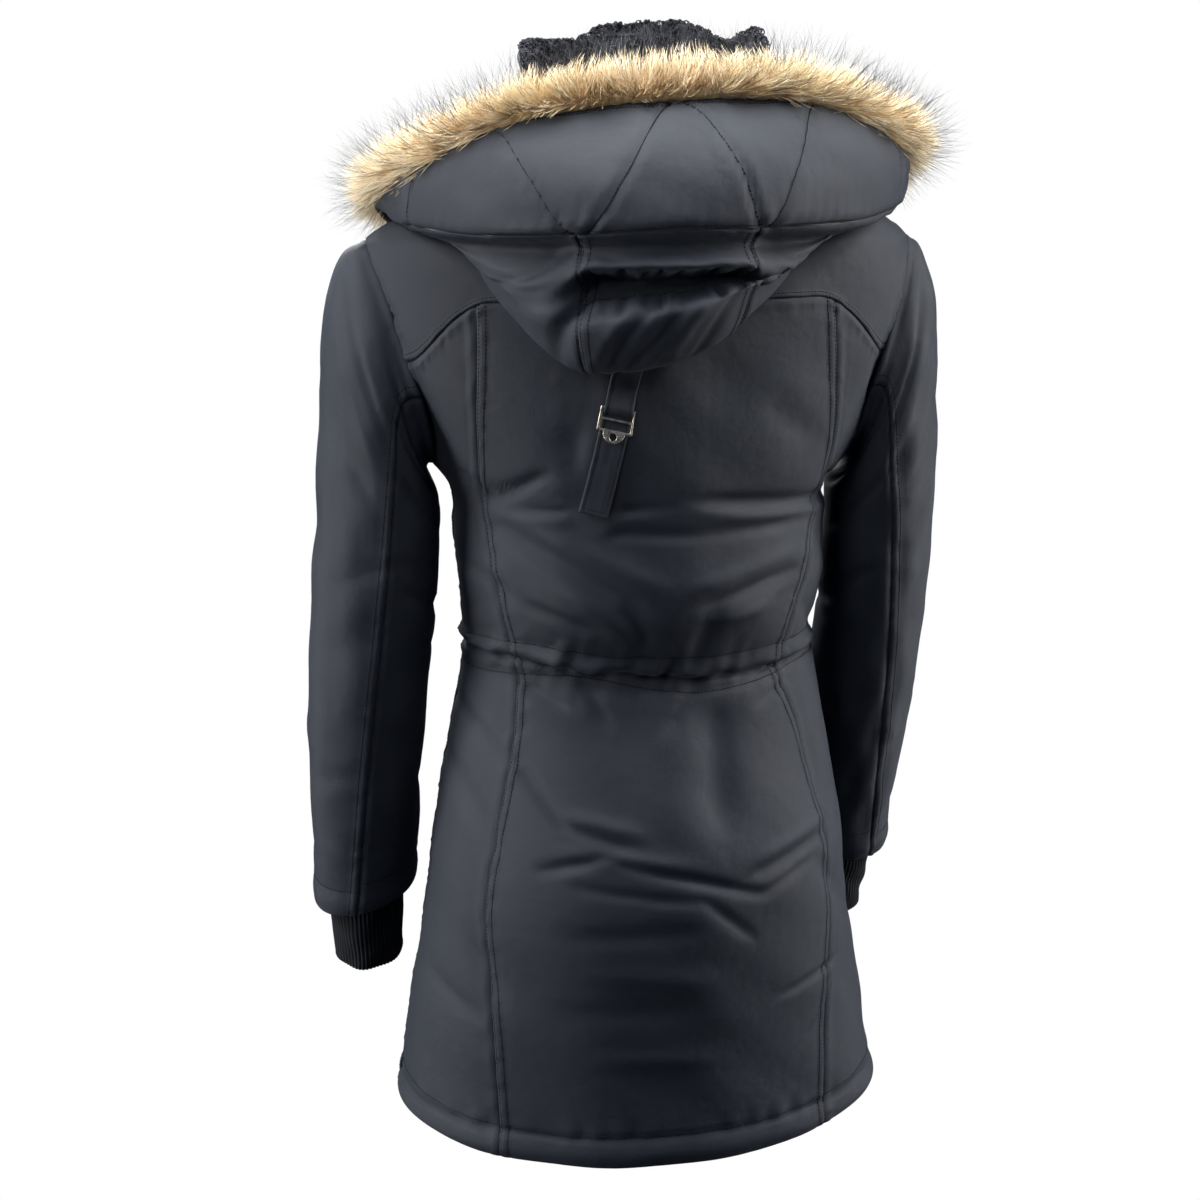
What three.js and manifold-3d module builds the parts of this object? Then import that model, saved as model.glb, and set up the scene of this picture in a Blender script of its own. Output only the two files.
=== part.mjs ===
// A women's winter parka in its worn, hollow shape: panelled body, two-piece sleeves with knitted cuffs, stand collar
// lined with pile, and a fur-edged hood thrown back over the shoulders, with its strap and buckle.
// Millimetres. +Z is up, the front faces -Y, and +X is the wearer's left.
// The origin is the middle of the neck opening, level with the collar seam at the back.
import * as THREE from "three";
import Module from "manifold-3d";
import { mergeVertices } from "three/addons/utils/BufferGeometryUtils.js";

const wasm = await Module();
wasm.setup();

// Driving sizes
const seamGap = 0.3;
const shell = 3;
const pile = 5;
const hemLevel = -825;
const pitLevel = -235;
const tipLevel = -52;
const neckDrop = 38;
const hemDrop = 13;
const zipHalfGap = 6;
const sideSeam = 97;
const cuffLength = 80;
const armholeSteps = 20;
const shoulderRows = 4;
const furReach = 20.5;
const furWidth = 14;

const radians = THREE.MathUtils.degToRad;
const smooth = (x) => THREE.MathUtils.smoothstep(x, 0, 1);
const mix = THREE.MathUtils.lerp;

// Body rings. Columns: level, half width, back depth, front depth.
const bodyRings = [
  [-825, 223, 158, 154],
  [-745, 211, 152, 149],
  [-684, 200, 146, 144],
  [-625, 191, 139, 138],
  [-566, 184, 130, 131],
  [-508, 174, 119, 122],
  [-450, 163, 108, 112],
  [-400, 155, 103, 108],
  [-350, 158, 109, 116],
  [-300, 162, 115, 124],
  [-260, 164, 118, 128],
  [-235, 181, 119, 128],
  [-180, 212, 117, 125],
  [-137, 231, 111, 118],
  [-95, 237, 102, 108],
  [-52, 231, 90, 98],
  [-42, 221, 87, 96],
  [-33, 206, 83, 93],
  [-24, 180, 78, 90],
  [-16, 150, 73, 87],
  [-9, 120, 68, 84],
  [0, 85, 62, 80],
];

// Princess seams of the back. Columns: level, distance of the left seam from the middle, and of the right seam.
const princessSeams = [
  [-840, 142, 159],
  [-730, 144, 156],
  [-606, 142, 153],
  [-475, 121, 130],
  [-400, 118, 111],
  [-240, 146, 150],
  [-90, 146, 149],
];

// Folds of the back. Columns: across (+X), level, half length, half height, tilt in degrees, height out of the cloth.
const backFolds = [
  [0, -409, 150, 9, 0, -9],
  [0, -392, 140, 13, 0, 5],
  [-5, -300, 120, 34, 4, 6],
  [60, -262, 95, 16, -14, -6],
  [-70, -275, 90, 15, 12, -5],
  [45, -480, 110, 20, 8, 4],
  [-40, -600, 120, 30, -6, 4],
  [10, -690, 130, 34, 4, -4],
  [150, -330, 40, 16, -30, 6],
  [-150, -330, 40, 16, 30, 6],
];

// Sleeve rings. Columns: share of the way down, outermost point across and its level, innermost point across and its
// level, middle in depth, half depth.
const leftSleeve = [
  [0, 231, -52, 181, -235, -2, 52],
  [0.05, 246, -58, 184, -241, -2, 55],
  [0.1, 257, -75, 182, -249, -3, 58],
  [0.16, 266, -103, 177, -259, -3, 60],
  [0.23, 271, -150, 174, -276, -4, 60],
  [0.3, 274, -200, 174, -297, -4, 58],
  [0.4, 279, -265, 175, -331, -5, 57],
  [0.5, 285, -335, 179, -375, -8, 55],
  [0.63, 290, -424, 186, -439, -17, 53],
  [0.77, 293, -516, 192, -514, -32, 51],
  [0.92, 293, -608, 196, -592, -50, 49],
  [1, 294, -658, 198, -634, -60, 48],
];
const rightSleeve = [
  [0, 231, -52, 181, -235, -2, 52],
  [0.05, 241, -58, 183, -241, -2, 55],
  [0.1, 249, -76, 180, -249, -3, 58],
  [0.16, 257, -104, 173, -259, -3, 60],
  [0.23, 261, -150, 169, -276, -4, 60],
  [0.3, 264, -200, 168, -297, -5, 58],
  [0.4, 266, -265, 167, -330, -8, 57],
  [0.5, 267, -332, 167, -375, -16, 55],
  [0.63, 268, -420, 167, -440, -36, 53],
  [0.77, 265, -508, 166, -516, -60, 51],
  [0.92, 262, -596, 165, -596, -86, 49],
  [1, 261, -642, 165, -636, -100, 48],
];
// Sleeve seams. Columns: share of the way down, back seam in degrees round from the outside, front seam.
const leftSleeveSeams = [
  [0, 108, 252],
  [0.3, 101, 256],
  [0.6, 96, 262],
  [1, 79, 275],
];
const rightSleeveSeams = [
  [0, 108, 252],
  [0.3, 97, 256],
  [0.6, 84, 262],
  [1, 62, 275],
];

// Hood sections, from the middle of the back round to the front. Each point is [distance from the neck axis, level],
// along the outside from the fur edge, over the brim, the tuck and the pouch, to the neck seam. The fur points
// at furAngle above the horizontal.
const hoodSections = [
  {
    azimuth: 0, edge: [124, 66], crest: [150, 53], face: [180, 18], fold: [190, -22], tuck: [170, -41],
    band: [186, -54], slit: [168, -71], pouch: [188, -98], bottom: [162, -136], under: [128, -116],
    back: [106, -56], furAngle: 96,
  },
  {
    azimuth: 25, edge: [132, 65], crest: [156, 51], face: [184, 16], fold: [193, -25], tuck: [172, -42],
    band: [187, -54], slit: [170, -70], pouch: [186, -94], bottom: [163, -126], under: [134, -108],
    back: [110, -54], furAngle: 84,
  },
  {
    azimuth: 50, edge: [160, 55], crest: [179, 44], face: [197, 13], fold: [201, -27], tuck: [181, -42],
    band: [184, -48], slit: [176, -56], pouch: [176, -66], bottom: [166, -82], under: [146, -76],
    back: [122, -30], furAngle: 66,
  },
  {
    azimuth: 72, edge: [199, 25], crest: [213, 18], face: [219, 0], fold: [214, -25], tuck: [198, -36],
    band: [188, -34], slit: [178, -30], pouch: [168, -24], bottom: [155, -17], under: [135, -8],
    back: [110, 1], furAngle: 52,
  },
  {
    azimuth: 92, edge: [222, 0], crest: [230, -5], face: [230, -16], fold: [222, -26], tuck: [211, -27],
    band: [202, -23], slit: [190, -18], pouch: [176, -13], bottom: [160, -9], under: [138, -3],
    back: [112, 3], furAngle: 42,
  },
  {
    azimuth: 112, edge: [214, -26], crest: [219, -33], face: [214, -42], fold: [204, -45], tuck: [193, -42],
    band: [184, -37], slit: [172, -30], pouch: [160, -21], bottom: [148, -14], under: [130, -6],
    back: [110, 0], furAngle: 42,
  },
  {
    azimuth: 132, edge: [176, -52], crest: [179, -59], face: [174, -65], fold: [166, -64], tuck: [157, -59],
    band: [149, -52], slit: [141, -45], pouch: [132, -36], bottom: [124, -28], under: [115, -21],
    back: [105, -14], furAngle: 28,
  },
  {
    azimuth: 152, edge: [136, -66], crest: [138, -72], face: [134, -77], fold: [129, -74], tuck: [124, -66],
    band: [119, -57], slit: [114, -49], pouch: [109, -42], bottom: [105, -37], under: [101, -32],
    back: [96, -28], furAngle: 12,
  },
];
const hoodNames = ["edge", "crest", "face", "fold", "tuck", "band", "slit", "pouch", "bottom", "under", "back"];
const hoodEnd = 152;
const hoodRoll = 0.06;
const pouchTurn = 7;
const pouchTilt = 0.25;
const brimShare = 0.29;
const liningReach = 36;
const leftHoodSeam = 24;
const rightHoodSeam = -19;

// Collar. Columns: azimuth from the back, level of the top edge, lean of the top edge outwards.
const collarTop = [
  [0, 58, 9],
  [60, 74, 14],
  [100, 101, 17],
  [150, 111, 14],
  [180, 98, 11],
];

// Reads a table at a place, smoothly: each row starts with its place, and rows rise in order.
function readTable(rows, at) {
  let k = 0;
  while (k < rows.length - 2 && at > rows[k + 1][0]) k++;
  const low = rows[k];
  const high = rows[k + 1];
  const span = high[0] - low[0];
  const t = THREE.MathUtils.clamp((at - low[0]) / span, 0, 1);
  const slope = (i, c) => {
    const a = rows[Math.max(i - 1, 0)];
    const b = rows[Math.min(i + 1, rows.length - 1)];
    return (b[c] - a[c]) / (b[0] - a[0]);
  };
  const t2 = t * t;
  const t3 = t2 * t;
  return low.map(
    (_, c) =>
      (2 * t3 - 3 * t2 + 1) * low[c] +
      (t3 - 2 * t2 + t) * span * slope(k, c) +
      (3 * t2 - 2 * t3) * high[c] +
      (t3 - t2) * span * slope(k + 1, c),
  );
}

function foldHeight(x, level) {
  let height = 0;
  for (const [across, at, halfLength, halfHeight, tilt, rise] of backFolds) {
    const a = radians(tilt);
    const dx = x - across;
    const dz = level - at;
    const along = (dx * Math.cos(a) + dz * Math.sin(a)) / halfLength;
    const over = (dz * Math.cos(a) - dx * Math.sin(a)) / halfHeight;
    height += rise * Math.exp(-(along ** 4) - over ** 2);
  }
  return height;
}

// A point of the body's outside, at an angle from the middle of the back towards +X, moved out by some millimetres.
function bodyPoint(angle, level, out = 0) {
  const [, halfWidth, back, front] = readTable(bodyRings, level);
  const s = Math.sin(angle);
  const c = Math.cos(angle);
  const depth = c > 0 ? back : front;
  const drop =
    neckDrop * smooth(1 + level / 100) * Math.max(0, -c) ** 1.5 +
    hemDrop * smooth((-600 - level) / 225) * Math.max(0, c);
  const normal = new THREE.Vector2(s / halfWidth, c / depth).normalize();
  const onBack = smooth((c + 0.1) / 0.5);
  const lift = out + onBack * foldHeight(halfWidth * s, level);
  return new THREE.Vector3(halfWidth * s + normal.x * lift, depth * c + normal.y * lift, level - drop);
}

function bodyAngle(x, level) {
  return Math.asin(THREE.MathUtils.clamp(x / readTable(bodyRings, level)[1], -1, 1));
}

// The armhole is an oval in angle and level. These give its angle at a level, and its points in turn.
const armholeMiddle = (tipLevel + pitLevel) / 2;
const armholeHalf = (tipLevel - pitLevel) / 2;
const armholeBack = radians(27.5);
const armholeFront = radians(32);

function armholeAngle(level, width) {
  const share = THREE.MathUtils.clamp((level - armholeMiddle) / armholeHalf, -1, 1);
  return width * Math.sqrt(1 - share * share);
}

function armholePoint(turn, inset = 0) {
  const level = armholeMiddle + (armholeHalf - inset) * Math.cos(turn);
  const width = (Math.sin(turn) > 0 ? armholeBack : armholeFront) - inset / 200;
  return bodyPoint(Math.PI / 2 - width * Math.sin(turn), level);
}

// Levels of the armhole's corners, from the pit up to the shoulder tip.
const armholeLevels = Array.from(
  { length: armholeSteps / 2 + 1 },
  (_, k) => armholeMiddle - armholeHalf * Math.cos((2 * Math.PI * k) / armholeSteps),
);

// A closed wall from a surface: its outside is surface(u, v), and its inside lies thickness behind it.
function wall(surface, across, along, thickness, options = {}) {
  const { closed = false, flip = false, startNormal = null } = options;
  const columns = closed ? across : across + 1;
  const rows = along + 1;
  const step = 1e-4;
  const positions = [];
  const inner = [];
  for (let j = 0; j < rows; j++) {
    for (let i = 0; i < columns; i++) {
      const u = i / across;
      const v = j / along;
      const point = surface(u, v);
      const du = surface(closed ? u + step : Math.min(1, u + step), v).sub(
        surface(closed ? u - step : Math.max(0, u - step), v),
      );
      const dv = surface(u, Math.min(1, v + step)).sub(surface(u, Math.max(0, v - step)));
      let normal = dv.cross(du).normalize();
      if (flip) normal.negate();
      if (startNormal && j === 0) normal = startNormal(u);
      positions.push(point.x, point.y, point.z);
      const deep = typeof thickness === "function" ? thickness(u, v) : thickness;
      inner.push(point.x - normal.x * deep, point.y - normal.y * deep, point.z - normal.z * deep);
    }
  }
  const count = columns * rows;
  positions.push(...inner);
  const indices = [];
  const quad = (a, b, c, d) => indices.push(a, b, c, a, c, d);
  const id = (i, j) => j * columns + (i % columns);
  for (let j = 0; j < along; j++) {
    for (let i = 0; i < across; i++) {
      quad(id(i, j), id(i + 1, j), id(i + 1, j + 1), id(i, j + 1));
      quad(id(i, j) + count, id(i, j + 1) + count, id(i + 1, j + 1) + count, id(i + 1, j) + count);
    }
  }
  for (let i = 0; i < across; i++) {
    quad(id(i, 0), id(i, 0) + count, id(i + 1, 0) + count, id(i + 1, 0));
    quad(id(i, along), id(i + 1, along), id(i + 1, along) + count, id(i, along) + count);
  }
  if (!closed) {
    for (let j = 0; j < along; j++) {
      quad(id(0, j), id(0, j + 1), id(0, j + 1) + count, id(0, j) + count);
      quad(id(across, j), id(across, j) + count, id(across, j + 1) + count, id(across, j + 1));
    }
  }
  return facingOut(positions, indices);
}

function geometryOf(positions, indices) {
  const geometry = new THREE.BufferGeometry();
  geometry.setAttribute("position", new THREE.Float32BufferAttribute(positions, 3));
  geometry.setIndex(indices);
  geometry.computeVertexNormals();
  return geometry;
}

function facingOut(positions, indices) {
  let volume = 0;
  const corner = (k) => new THREE.Vector3().fromArray(positions, 3 * indices[k]);
  for (let k = 0; k < indices.length; k += 3) {
    volume += corner(k).dot(corner(k + 1).cross(corner(k + 2)));
  }
  if (volume < 0) indices.reverse();
  return geometryOf(positions, indices);
}

// A panel of the body between two seams, each a function from level to angle. Its rows are functions from angle to
// level, lowest first, and its columns stand at shares of the way across.
function bodyPanel(leftSeam, rightSeam, rows, shares) {
  const halfGap = seamGap / 2;
  const top = rows.length - 1;
  const surface = (u, v) => {
    const k = Math.min(Math.floor(v * top + 1e-6), top - 1);
    const column = Math.min(Math.floor(u * (shares.length - 1) + 1e-6), shares.length - 2);
    const share = mix(shares[column], shares[column + 1], u * (shares.length - 1) - column);
    let level = rows[k](0);
    let angle = 0;
    for (let pass = 0; pass < 8; pass++) {
      angle = mix(leftSeam(level), rightSeam(level), share);
      level = mix(rows[k](angle), rows[k + 1](angle), v * top - k);
    }
    const slack = halfGap / readTable(bodyRings, level)[1];
    return bodyPoint(angle + mix(slack, -slack, share), level + mix(halfGap, -halfGap, v));
  };
  return wall(surface, shares.length - 1, top, shell);
}

const materials = {
  shell: new THREE.MeshStandardMaterial({ color: 0x34363b, roughness: 0.62, metalness: 0 }),
  rib: new THREE.MeshStandardMaterial({ color: 0x0a0e18, roughness: 0.9, metalness: 0 }),
  pile: new THREE.MeshStandardMaterial({ color: 0x15171c, roughness: 1, metalness: 0 }),
  fur: new THREE.MeshStandardMaterial({ color: 0xc9a670, roughness: 0.9, metalness: 0 }),
  metal: new THREE.MeshStandardMaterial({ color: 0xb5ad98, roughness: 0.3, metalness: 1 }),
  tape: new THREE.MeshStandardMaterial({ color: 0x15161a, roughness: 0.8, metalness: 0 }),
};

const parka = new THREE.Group();

function add(name, geometry, material) {
  const mesh = new THREE.Mesh(geometry, material);
  mesh.name = name;
  parka.add(mesh);
  return mesh;
}

// Seams of the body
const yokeMiddle = -92;
const yokeSeam = (angle) =>
  mix(yokeMiddle, armholeMiddle, smooth((Math.abs(angle) - radians(34)) / radians(28)));
const leftPrincess = (level) => bodyAngle(readTable(princessSeams, level)[1], level);
const rightPrincess = (level) => bodyAngle(-readTable(princessSeams, level)[2], level);
const sideAngle = (level) => radians(mix(90, sideSeam, smooth((pitLevel - level) / 110)));
const backEdge = (level) => {
  if (level < pitLevel) return sideAngle(level);
  return Math.PI / 2 - (level < tipLevel ? armholeAngle(level, armholeBack) : 0);
};
const frontEdge = (level) => {
  if (level < pitLevel) return sideAngle(level);
  return Math.PI / 2 + (level < tipLevel ? armholeAngle(level, armholeFront) : 0);
};

const evenly = (count) => Array.from({ length: count + 1 }, (_, k) => k / count);
const spaced = (from, to, count) => evenly(count).map((share) => mix(from, to, share));
// Rows of the body below the armholes stand closest where the waist casing draws the cloth in.
const skirtRows = [
  ...spaced(hemLevel, -640, 3),
  ...spaced(-640, -470, 4).slice(1),
  ...spaced(-470, -370, 7).slice(1),
  ...spaced(-370, pitLevel, 6).slice(1),
].map((level) => () => level);
const shoulderLevels = evenly(shoulderRows).slice(1).map((share) => mix(tipLevel, 0, share));
const halfHole = armholeSteps / 4;

// Column shares: the yoke's columns end on the columns of the panels below it.
const centreColumns = 10;
const sideColumns = 7;

function addBack() {
  const upper = armholeLevels.slice(1, halfHole + 1).map((level) => (angle) =>
    mix(pitLevel, yokeSeam(angle), (level - pitLevel) / (armholeMiddle - pitLevel)));
  const rows = [...skirtRows, ...upper];
  const centre = bodyPanel(rightPrincess, leftPrincess, rows, evenly(centreColumns));
  add("back_centre", centre, materials.shell);
  const left = bodyPanel(leftPrincess, backEdge, rows, evenly(sideColumns));
  add("back_side_left", left, materials.shell);
  const right = bodyPanel((level) => -backEdge(level), rightPrincess, rows, evenly(sideColumns));
  add("back_side_right", right, materials.shell);
}

function addYoke() {
  const shareOf = (seamA, seamB, share) => {
    let angle = 0;
    for (let pass = 0; pass < 30; pass++) {
      const level = yokeSeam(angle);
      angle = mix(seamA(level), seamB(level), share);
    }
    return 0.5 + (0.5 * angle) / backEdge(yokeSeam(angle));
  };
  const mirrored = (level) => -backEdge(level);
  const shares = [
    ...evenly(sideColumns).map((share) => shareOf(mirrored, rightPrincess, share)),
    ...evenly(centreColumns).slice(1).map((share) => shareOf(rightPrincess, leftPrincess, share)),
    ...evenly(sideColumns).slice(1).map((share) => shareOf(leftPrincess, backEdge, share)),
  ];
  const lower = armholeLevels.slice(halfHole).map((level) => (angle) =>
    mix(yokeSeam(angle), tipLevel, (level - armholeMiddle) / (tipLevel - armholeMiddle)));
  const rows = [...lower, ...shoulderLevels.map((level) => () => level)];
  add("yoke", bodyPanel(mirrored, backEdge, rows, shares), materials.shell);
}

function addFronts() {
  const middle = (level) => Math.PI - Math.asin(zipHalfGap / readTable(bodyRings, level)[1]);
  const upper = [...armholeLevels.slice(1), ...shoulderLevels].map((level) => () => level);
  const rows = [...skirtRows, ...upper];
  add("front_left", bodyPanel(frontEdge, middle, rows, evenly(7)), materials.shell);
  const right = bodyPanel((level) => -middle(level), (level) => -frontEdge(level), rows, evenly(7));
  add("front_right", right, materials.shell);
}

// A point of a sleeve's outside. The turn runs from the outside (or the shoulder tip) towards the back.
function sleevePoint(rows, side, turn, share) {
  const ring = (s) => {
    const [, outX, outZ, inX, inZ, y, halfDepth] = readTable(rows, s);
    const c = Math.cos(turn);
    const lean = 0.22 * smooth((s - 0.45) / 0.4);
    return new THREE.Vector3(
      (outX + inX + c * (outX - inX)) / 2,
      y + halfDepth * Math.sin(turn),
      (outZ + inZ + c * (outZ - inZ)) / 2 - lean * halfDepth * Math.sin(turn),
    );
  };
  const point = ring(share);
  const fade = 1 - smooth(share / 0.2);
  if (fade > 0) {
    point.add(armholePoint(turn, seamGap).sub(ring(0)).multiplyScalar(fade));
  }
  return point.setX(side * point.x);
}

function armholeNormal(turn, side) {
  const level = armholeMiddle + armholeHalf * Math.cos(turn);
  const width = Math.sin(turn) > 0 ? armholeBack : armholeFront;
  const angle = Math.PI / 2 - width * Math.sin(turn);
  const du = bodyPoint(angle + 1e-4, level).sub(bodyPoint(angle - 1e-4, level));
  const dv = bodyPoint(angle, level + 1e-2).sub(bodyPoint(angle, level - 1e-2));
  const normal = du.cross(dv).normalize();
  if (normal.x < 0) normal.negate();
  return normal.setX(side * normal.x);
}

function addSleeve(word, rows, seams, side) {
  const halfGap = radians(0.16);
  const spread = (v) => v ** 1.15;
  const piece = (name, from, to, across) => {
    const turnAt = (u, share) => {
      const row = readTable(seams, share);
      return mix(from(row) + halfGap, to(row) - halfGap, u);
    };
    const surface = (u, v) => sleevePoint(rows, side, turnAt(u, spread(v)), spread(v));
    const startNormal = (u) => armholeNormal(turnAt(u, 0), side);
    const geometry = wall(surface, across, 16, shell, { flip: side < 0, startNormal });
    add(name, geometry, materials.shell);
  };
  piece(`sleeve_upper_${word}`, (row) => radians(row[2] - 360), (row) => radians(row[1]), 12);
  piece(`sleeve_under_${word}`, (row) => radians(row[1]), (row) => radians(row[2]), 8);
}

// The knitted cuff is sewn inside the sleeve, comes out of its end and narrows over the wrist.
function addCuff(word, rows, side) {
  const [, outX, outZ, inX, inZ, y] = rows[rows.length - 1];
  const start = 0.945;
  const surface = (u, v) => {
    const turn = 2 * Math.PI * u;
    const radius = mix(36, 31.5, smooth(v));
    const down = mix(-16, cuffLength, v);
    const point = new THREE.Vector3(
      side * ((outX + inX) / 2 - 0.03 * down + radius * Math.cos(turn)),
      y - 0.26 * down + radius * Math.sin(turn),
      (outZ + inZ) / 2 - 0.96 * down - 0.25 * radius * Math.sin(turn) - 0.06 * radius * Math.cos(turn),
    );
    const sewn = sleevePoint(rows, side, turn, start);
    const middle = sleevePoint(rows, side, 0, start).add(sleevePoint(rows, side, Math.PI, start)).divideScalar(2);
    const inward = middle.sub(sewn).normalize();
    sewn.addScaledVector(inward, shell + 1.2);
    return sewn.lerp(point, smooth(v / 0.2));
  };
  add(`rib_cuff_${word}`, wall(surface, 16, 5, 2.5, { closed: true, flip: side < 0 }), materials.rib);
}

function neckPoint(azimuth, out = 0) {
  return bodyPoint(azimuth, 0, out);
}

function collarPoint(angle, share, out = 0) {
  const base = neckPoint(angle, out);
  const [, top, lean] = readTable(collarTop, Math.abs(THREE.MathUtils.radToDeg(angle)));
  const outward = new THREE.Vector2(base.x, base.y).normalize();
  const bow = lean * share ** 0.8;
  return new THREE.Vector3(
    base.x + outward.x * bow,
    base.y + outward.y * bow,
    mix(base.z + 0.5, top, share),
  );
}

function addCollar() {
  const end = Math.PI - Math.asin(zipHalfGap / 85);
  const surface = (u, v) => collarPoint(mix(-end, end, u), v);
  add("collar", wall(surface, 28, 3, shell), materials.shell);
  const lining = (u, v) => collarPoint(mix(-end, end, u) * 0.94, mix(0.03, 1.03, v), -(shell + 1.4));
  add("collar_pile", wall(lining, 28, 3, pile), materials.pile);
}

// The hood's section at an azimuth, as points [distance, level] from the edge to the neck seam, with how far the
// pouch is turned and tilted to one side.
function hoodSection(azimuth, lining) {
  const column = (name) => hoodSections.map((row) => [row.azimuth, ...row[name]]);
  const points = hoodNames.map((name, k) => {
    const inPouch = smooth((k - 2.5) / 3) * (1 - smooth((k - 8.5) / 2));
    const turned = Math.abs(azimuth - pouchTurn * inPouch * smooth((130 - Math.abs(azimuth)) / 60));
    const [, distance, level] = readTable(column(name), Math.min(turned, hoodEnd));
    return [distance, level];
  });
  if (lining) {
    const at = Object.fromEntries(hoodNames.map((name, k) => [name, points[k]]));
    const inset = (name, r, z) => {
      const p = at[name];
      p[0] = r;
      p[1] = z;
    };
    const inner = Math.min(at.tuck[0], at.slit[0]) - 11;
    inset("fold", at.fold[0] - 14, at.fold[1] + 14);
    inset("tuck", inner, at.tuck[1] + 6);
    inset("band", inner - 1, at.band[1]);
    inset("slit", inner, at.slit[1] - 4);
    inset("pouch", at.pouch[0] - 12, at.pouch[1] + 6);
    inset("bottom", at.bottom[0] - 12, at.bottom[1] + 20);
    inset("under", at.under[0] + 2, at.under[1] + 16);
  }
  const seam = neckPoint(radians(azimuth));
  points.push([Math.hypot(seam.x, seam.y) + 2.6, seam.z + 5]);
  return points;
}

function hoodPoint(azimuth, share, lining = false) {
  const points = hoodSection(azimuth, lining);
  const rows = points.map(([distance, level], k) => [k / (points.length - 1), distance, level]);
  const [, distance, level] = readTable(rows, share);
  const a = radians(azimuth);
  const x = distance * Math.sin(a);
  const roll = hoodRoll * x * (1 - share) ** 2.5;
  const sag = pouchTilt * (x - 16) * Math.exp(-(((share - 0.69) / 0.1) ** 2)) *
    (1 - smooth((Math.abs(azimuth) - 18) / 30));
  const floor = yokeLevel(a, distance - 10) + 3;
  return new THREE.Vector3(x, distance * Math.cos(a), Math.max(level - roll - sag, floor));
}

// The level of the yoke or the fronts under a place, or far below where the place is beyond the shoulders.
function yokeLevel(azimuth, distance) {
  const s = Math.sin(azimuth);
  const c = Math.cos(azimuth);
  const radius = (level) => {
    const [, halfWidth, back, front] = readTable(bodyRings, level);
    return 1 / Math.hypot(s / halfWidth, c / (c > 0 ? back : front));
  };
  let low = -137;
  let high = 0;
  if (distance > radius(low)) return -1000;
  for (let pass = 0; pass < 24; pass++) {
    const middle = (low + high) / 2;
    if (radius(middle) > distance) low = middle;
    else high = middle;
  }
  const [, , , front] = readTable(bodyRings, low);
  const cosine = c < 0 ? (distance * -c) / front : 0;
  return low - neckDrop * smooth(1 + low / 100) * cosine ** 1.5;
}

// Azimuths of the hood's columns, shared by the pieces on both sides of each seam.
const rightColumns = spaced(-hoodEnd, rightHoodSeam, 13);
const crownColumns = spaced(rightHoodSeam, leftHoodSeam, 4);
const leftColumns = spaced(leftHoodSeam, hoodEnd, 13);
const brimColumns = [...rightColumns, ...crownColumns.slice(1), ...leftColumns.slice(1)];

function columnAt(columns, u) {
  const last = columns.length - 1;
  const k = THREE.MathUtils.clamp(Math.floor(u * last + 1e-6), 0, last - 1);
  const slack = 0.07;
  return mix(columns[k], columns[k + 1], u * last - k) + mix(slack, -slack, u);
}

function addHood() {
  const hoodWall = (columns, fromShare, toShare, along) => {
    const surface = (u, v) => hoodPoint(columnAt(columns, u), mix(fromShare, toShare, v));
    return wall(surface, columns.length - 1, along, shell, { flip: true });
  };
  const bodyStart = brimShare + 0.002;
  add("hood_brim", hoodWall(brimColumns, 0, brimShare - 0.002, 5), materials.shell);
  add("hood_crown", hoodWall(crownColumns, bodyStart, 1, 12), materials.shell);
  add("hood_side_left", hoodWall(leftColumns, bodyStart, 1, 12), materials.shell);
  add("hood_side_right", hoodWall(rightColumns, bodyStart, 1, 12), materials.shell);
}

// The pile lining of the hood follows the shell on the inside, more simply than its folds.
function addHoodLining() {
  const columns = brimColumns.filter((azimuth) => Math.abs(azimuth) < liningReach);
  const step = 1e-3;
  const at = (azimuth, share) => hoodPoint(azimuth, THREE.MathUtils.clamp(share, 0, 1), true);
  const surface = (u, v) => {
    const azimuth = columnAt(columns, u);
    const share = mix(0.012, 0.945, v);
    const du = at(azimuth + 0.05, share).sub(at(azimuth - 0.05, share));
    const dv = at(azimuth, share + step).sub(at(azimuth, share - step));
    const inward = dv.cross(du).normalize();
    return at(azimuth, share).addScaledVector(inward, shell + 1.6);
  };
  add("hood_lining", wall(surface, columns.length - 1, 14, pile, { flip: true }), materials.pile);
}

// The fur is a roll that stands on the hood's edge and reaches as far as its hairs.
function addFur() {
  const angles = hoodSections.map((row) => [row.azimuth, row.furAngle]);
  const surface = (u, v) => {
    const azimuth = mix(-hoodEnd + 2, hoodEnd - 2, v);
    const edge = hoodPoint(azimuth, 0);
    const lean = radians(readTable(angles, Math.abs(azimuth))[1]);
    const a = radians(azimuth);
    const outward = new THREE.Vector3(Math.sin(a), Math.cos(a), 0);
    const up = new THREE.Vector3(0, 0, 1);
    const along = outward.clone().multiplyScalar(Math.cos(lean)).addScaledVector(up, Math.sin(lean));
    const across = outward.clone().multiplyScalar(Math.sin(lean)).addScaledVector(up, -Math.cos(lean));
    const fade = 0.45 + 0.55 * Math.sqrt(Math.sin(Math.PI * THREE.MathUtils.clamp(v, 0.001, 0.999)));
    const turn = 2 * Math.PI * u;
    return edge
      .addScaledVector(along, 1 + furReach * fade * (1 - Math.cos(turn)))
      .addScaledVector(across, furWidth * fade * Math.sin(turn) - 1.5);
  };
  add("fur_trim", roll(surface, 10, 40), materials.fur);
}

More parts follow.
